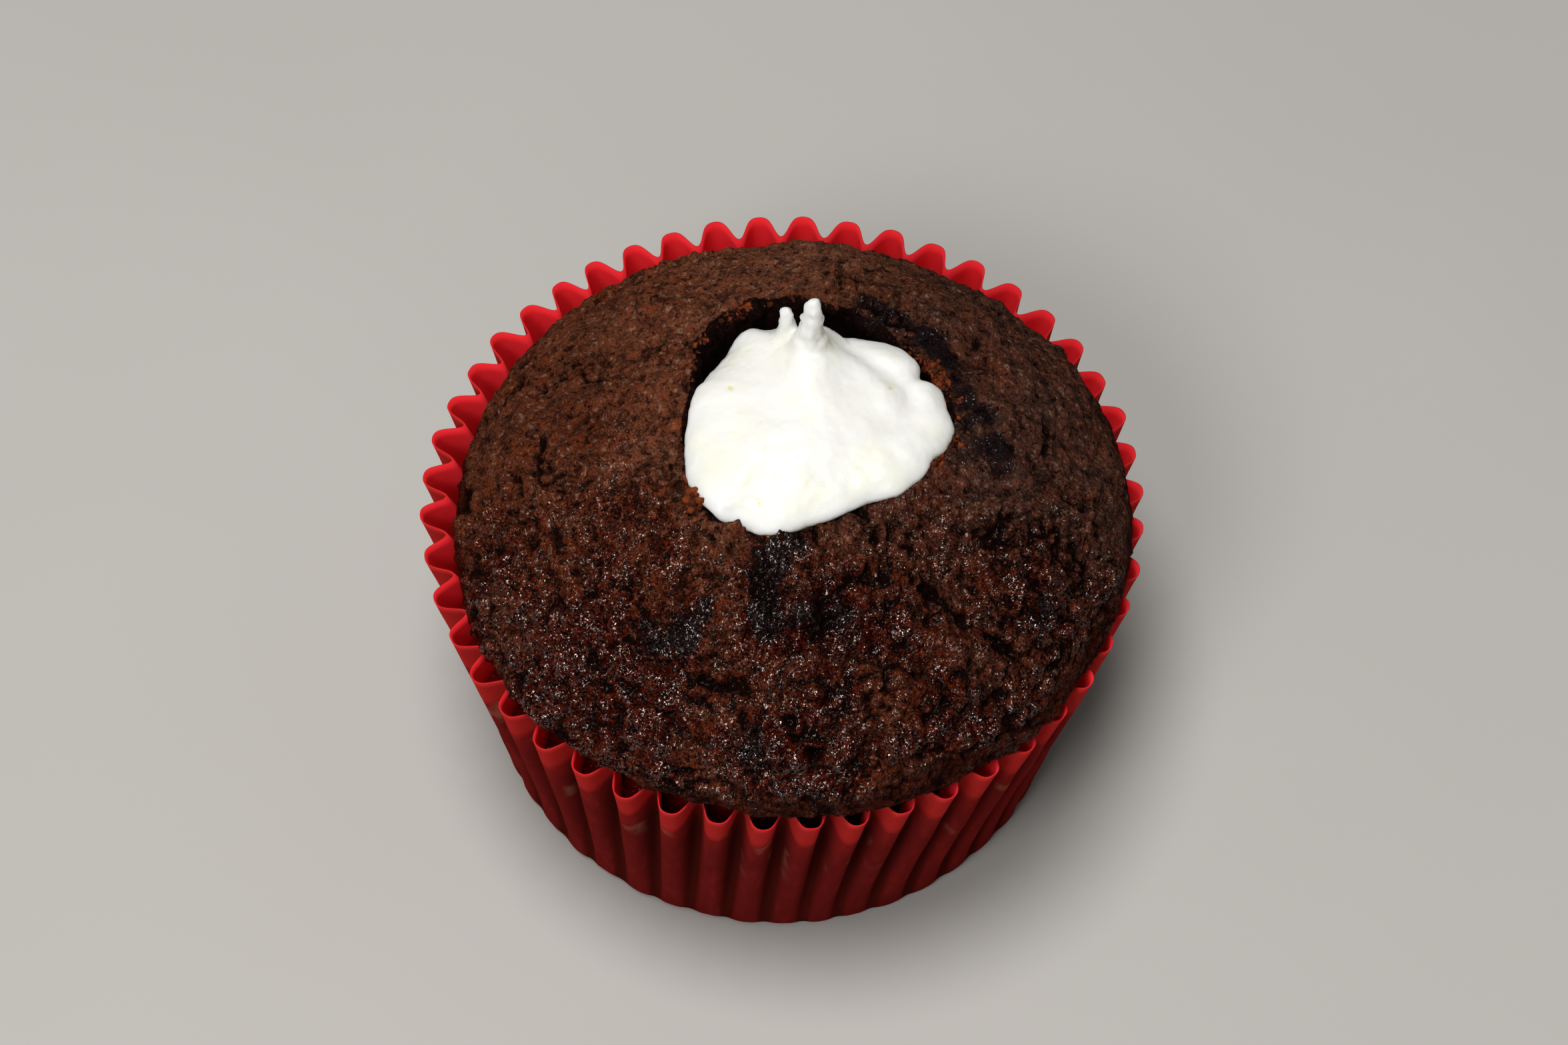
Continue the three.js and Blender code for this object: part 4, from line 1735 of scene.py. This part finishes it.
    def body(self) -> tuple[Array, list[Array]]:
        """The mound and its plug in one.

        Returns:
            Points and faces.
        """
        angle = round_the_turn(self.columns)[None]
        below = [self.plug(share, angle) for share in (1.0, 0.75, 0.5, 0.25, 0.1)]
        shares = 1 - np.linspace(0, 1, self.mound_rows + 1)[:-1, None] ** 1.4
        grid = np.concatenate([*below, self.mound(shares, angle)])
        low, high = self.cake.floor_height() + self.floor_gap, self.crown()
        poles = [[*self.cake.hole_middle, low], [*self.cake.hole_middle, high]]
        return np.concatenate([grid.reshape(-1, 3), poles]), turned_faces(*grid.shape[:2])

    def peak(self, tip: Peak, seed: int) -> tuple[Array, list[Array]]:
        """A pulled-up tip, slim and a little knobbly, that flares into the mound.

        Args:
            tip: Its place and sizes.
            seed: Number that picks the knobs.

        Returns:
            Points and faces. The radius is tip + slope (1 - up) + flare (1 - up)^5, less half up^7 of it.
        """
        angle = round_the_turn(self.peak_points)[None]
        up = np.linspace(0, 1, self.peak_points)[:, None]
        radius = (tip.tip + tip.slope * (1 - up) + tip.flare * (1 - up) ** 5) * (1 - 0.5 * up**7)
        knobs = Grain.rough(polar(angle, 1.0, up * tip.height), 1.0, 2, seed)
        knobs = 1 + 0.32 * knobs * ease(up, 0.2, 0.6)
        grid = polar(angle, radius * knobs, self.crown() + tip.base + tip.height * up)
        grid[..., 0] += tip.x + 0.12 * np.sin(5 * up + seed)
        grid[..., 1] += tip.y + tip.lean * up**2
        low, high = grid[0].mean(0), grid[-1].mean(0) + np.array([0, 0, tip.tip * 0.4])
        return np.concatenate([grid.reshape(-1, 3), [low, high]]), turned_faces(*grid.shape[:2])

    def build(self) -> bpy.types.Object:
        """The dollop, fused from its parts and softened where they meet.

        Returns:
            The object.
        """
        points, faces, count = [], [[], []], 0
        for spots, kinds in (self.body(), self.peak(self.tall_peak, 3), self.peak(self.short_peak, 5)):
            points.append(spots)
            for kind in (0, 1):
                faces[kind].append(kinds[kind] + count)
            count += len(spots)
        faces = [np.concatenate(kind) for kind in faces]
        rough = mesh_object("cream_parts", np.concatenate(points), faces, {})
        fuse = rough.modifiers.new("fuse", "REMESH")
        fuse.mode, fuse.voxel_size = "VOXEL", self.voxel * MM
        soften = rough.modifiers.new("soften", "SMOOTH")
        soften.factor, soften.iterations = 0.5, 4
        return self.finished(rough)

    def finished(self, rough: bpy.types.Object) -> bpy.types.Object:
        """Applies the fusing, presses in the pits, and adds the grain and the knobs of the tips.

        Args:
            rough: The parts with their modifiers, removed once they are read.

        Returns:
            The object.
        """
        fused = rough.evaluated_get(bpy.context.evaluated_depsgraph_get()).to_mesh()
        count = len(fused.vertices)
        points, normals = np.zeros(count * 3, np.float32), np.zeros(count * 3, np.float32)
        fused.vertices.foreach_get("co", points)
        fused.vertices.foreach_get("normal", normals)
        corners = np.zeros(len(fused.loops), np.int32)
        fused.loops.foreach_get("vertex_index", corners)
        points, normals = points.reshape(-1, 3).astype(float) / MM, normals.reshape(-1, 3)
        quads = corners.reshape(-1, 4)
        bpy.data.objects.remove(rough)
        pit = self.pitted(points) * (normals[:, 2] > 0.3)
        grain = 0.09 * Grain.soft(points, 1.4, 201) + 0.045 * Grain.soft(points, 0.5, 203)
        above = ease(points[:, 2] - self.crown(), 0.6, 2.0)
        knobs = 0.20 * Grain.soft(points, 0.8, 215) + 0.17 * Grain.soft(points, 0.5, 217)
        points = points + normals * (grain - self.pit_depth * pit + above * knobs)[:, None]
        return mesh_object(Piece.CREAM.label, points, [quads], {"pit": pit})

    def pitted(self, points: Array) -> Array:
        """How deep the pits are.

        Args:
            points: Points of the cream.

        Returns:
            From 0 to 1: the highest of the pits' bells, exp(-away squared), with slightly crooked outlines.
        """
        warped = Grain.stir(points, 0.6, 1, 0.25, (205, 207, 209))
        depth = np.zeros(len(points))
        for pit in self.pits:
            away = np.hypot(warped[:, 0] - pit.x, (warped[:, 1] - pit.y) / pit.stretch) / pit.reach
            depth = np.maximum(depth, pit.strength * np.exp(-(away**2)))
        return depth


@dataclass
class Crumbs:
    """Loose torn crumbs round the cut edge, each a small knobbly ball.

    The height of a cluster is its share of the crumbs. The heap lies on the torn corner of the cut.
    """

    cake: Cake
    count: int = 320
    seed: int = 17
    clusters: tuple[Bell, ...] = (
        Bell(-50, 0.07, 0.22),
        Bell(72, 0.16, 0.24),
        Bell(118, 0.15, 0.20),
        Bell(-140, 0.40, 0.32),
    )
    clustered: float = 0.9
    scatter: float = 0.65
    overhang: float = 0.35
    heap: Oval = Oval(-8.15, -8.3, 0.6, 1.3, 0.85)
    heap_count: int = 70
    smallest: float = 0.12
    smallest_heaped: float = 0.13
    size_range: float = 0.24
    sides: int = 7

    def places(self, random: np.random.Generator) -> tuple[Array, Array]:
        """Places of the crumbs, most of them in clusters.

        Args:
            random: Where the random numbers come from.

        Returns:
            Angles round the hole, and distances out from the cut.
        """
        kinds = random.random(self.count)
        angle = random.random(self.count) * FULL_TURN
        edge = 0.0
        for cluster in self.clusters:
            share = cluster.height * self.clustered
            chosen = (kinds >= edge) & (kinds < edge + share)
            drawn = math.radians(cluster.centre) + cluster.spread * random.standard_normal(self.count)
            angle = np.where(chosen, drawn, angle)
            edge += share
        return angle, np.abs(random.standard_normal(self.count)) * self.scatter - self.overhang

    def ball(self) -> tuple[Array, list[Array]]:
        """A ball of three rings and two poles.

        Returns:
            Points of radius 1, and faces.
        """
        tilt = np.radians([-50.0, 0.0, 50.0])
        rings = polar(round_the_turn(self.sides)[None], np.cos(tilt)[:, None], np.sin(tilt)[:, None])
        points = np.concatenate([rings.reshape(-1, 3), [[0, 0, -1], [0, 0, 1]]])
        return points, turned_faces(len(tilt), self.sides)

    def build(self) -> bpy.types.Object:
        """All the crumbs as one mesh, sunk a little into the crust, with the first ones in the heap.

        Returns:
            The object.
        """
        random = np.random.default_rng(self.seed)
        angle, out = self.places(random)
        size = self.smallest + self.size_range * random.random(self.count) ** 2
        heaped = slice(0, self.heap_count)
        spread = 2 * random.random((2, self.heap_count)) - 1
        x = self.heap.x + self.heap.width * spread[0] - self.cake.hole_middle[0]
        y = self.heap.y + self.heap.length * spread[1] - self.cake.hole_middle[1]
        angle[heaped] = np.arctan2(x, -y)
        out[heaped] = np.hypot(x, y) - self.cake.hole_edge(angle[heaped])
        size[heaped] = self.smallest_heaped + self.size_range * random.random(self.heap_count) ** 1.5
        share = (self.cake.hole_edge(angle) + out) / self.cake.radius
        centre = self.cake.dome(share, angle)
        centre[:, 2] += 0.35 * size - 0.25 * (out < 0)
        lift = self.heap.height * random.random(self.heap_count) * (1 - np.abs(spread[1]))
        centre[heaped, 2] += 0.15 + lift
        ball, kinds = self.ball()
        knobs = 1 + 0.9 * (random.random((self.count, len(ball), 1)) - 0.5)
        stretch = 0.6 + 0.8 * random.random((self.count, 1, 3))
        points = centre[:, None] + ball[None] * knobs * stretch * size[:, None, None]
        steps = np.arange(self.count)[:, None, None] * len(ball)
        faces = [(part[None] + steps).reshape(-1, part.shape[1]) for part in kinds]
        shade = random.random(self.count) ** 2.0
        shade[heaped] = random.random(self.heap_count)
        shade = np.repeat(shade, len(ball))
        return mesh_object(Piece.CRUMBS.label, points.reshape(-1, 3), faces, {"shade": shade})


# ------------------------------------------------------------------------------------------------ studio


@dataclass
class Studio:
    """Floor, light and camera."""

    target: tuple[float, float, float] = (0.0, 0.0, 28.76)
    distance: float = 340.0
    elevation: float = math.radians(58.47)
    roll: float = math.radians(3.0)
    lens: float = 82.37
    sensor: float = 36.0
    floor_reach: float = 1500.0
    floor_dark: Colour = (0.50, 0.485, 0.46)
    floor_light: Colour = (0.54, 0.525, 0.50)
    sky_colour: Colour = (1.0, 0.985, 0.97)
    sky_strength: float = 0.11
    lamps: tuple[Lamp, ...] = (
        Lamp("overhead", (-80.0, -40.0, 690.0), 270.0, 3.1, (1.0, 0.985, 0.96)),
        Lamp("front_panel", (-220.0, -400.0, 550.0), 230.0, 1.5, (1.0, 0.985, 0.97)),
        Lamp("front_fill", (-330.0, -540.0, 330.0), 460.0, 0.28, (1.0, 0.99, 0.98)),
    )

    def floor(self) -> None:
        """A plain pale floor."""
        corners = np.array([[-1, -1, 0], [1, -1, 0], [1, 1, 0], [-1, 1, 0]]) * self.floor_reach
        made = mesh_object("floor", corners, [np.array([[0, 1, 2, 3]])], {})
        graph = Graph("pale_floor")
        tone = graph.mix(graph.noise(60.0, 2.0), self.floor_dark, self.floor_light)
        made.data.materials.append(graph.finish(graph.shader({"Base Color": tone}, {"Roughness": 0.7})))

    def light(self) -> None:
        """Large soft lights and a faint even sky."""
        target = Vector(self.target) * MM
        for lamp in self.lamps:
            light = bpy.data.lights.new(lamp.name, "AREA")
            light.shape, light.size = "DISK", lamp.size * MM
            light.energy, light.color = lamp.power, lamp.colour
            made = bpy.data.objects.new(lamp.name, light)
            made.location = Vector(lamp.place) * MM
            made.rotation_euler = (target - made.location).to_track_quat("-Z", "Y").to_euler()
            bpy.context.scene.collection.objects.link(made)
        world = bpy.data.worlds.new("sky")
        world.use_nodes = True
        sky = world.node_tree.nodes["Background"].inputs
        sky["Color"].default_value = (*self.sky_colour, 1.0)
        sky["Strength"].default_value = self.sky_strength
        bpy.context.scene.world = world

    def camera(self) -> None:
        """The camera, from the front and above, rolled a little."""
        back = Vector((0, -math.cos(self.elevation), math.sin(self.elevation)))
        up = Vector((0, math.sin(self.elevation), math.cos(self.elevation)))
        turn = Matrix((Vector((1, 0, 0)), up, back)).transposed().to_4x4()
        seat = bpy.data.cameras.new("camera")
        seat.lens, seat.sensor_width = self.lens, self.sensor
        seat.clip_start = 0.01
        made = bpy.data.objects.new("camera", seat)
        place = Vector(self.target) * MM + back * self.distance * MM
        made.matrix_world = Matrix.Translation(place) @ turn @ Matrix.Rotation(self.roll, 4, "Z")
        bpy.context.scene.collection.objects.link(made)
        bpy.context.scene.camera = made

    def build(self) -> None:
        """Sets up the floor, the lights, the camera and plain colours."""
        self.floor()
        self.light()
        self.camera()
        bpy.context.scene.view_settings.view_transform = "Standard"


def main() -> None:
    """Builds the pieces in order."""
    logging.basicConfig(level=logging.INFO, format="%(name)s: %(message)s")
    case = PaperCase()
    cake = Cake(case)
    put_on(case.build(), Piece.CASE, GreasyPaper().material())
    put_on(cake.build(), Piece.CAKE, ChocolateCrust().material())
    put_on(Cream(cake).build(), Piece.CREAM, SoftCream().material())
    put_on(Crumbs(cake).build(), Piece.CRUMBS, LooseCrumb().material())
    Studio().build()


if __name__ == "__main__":
    main()
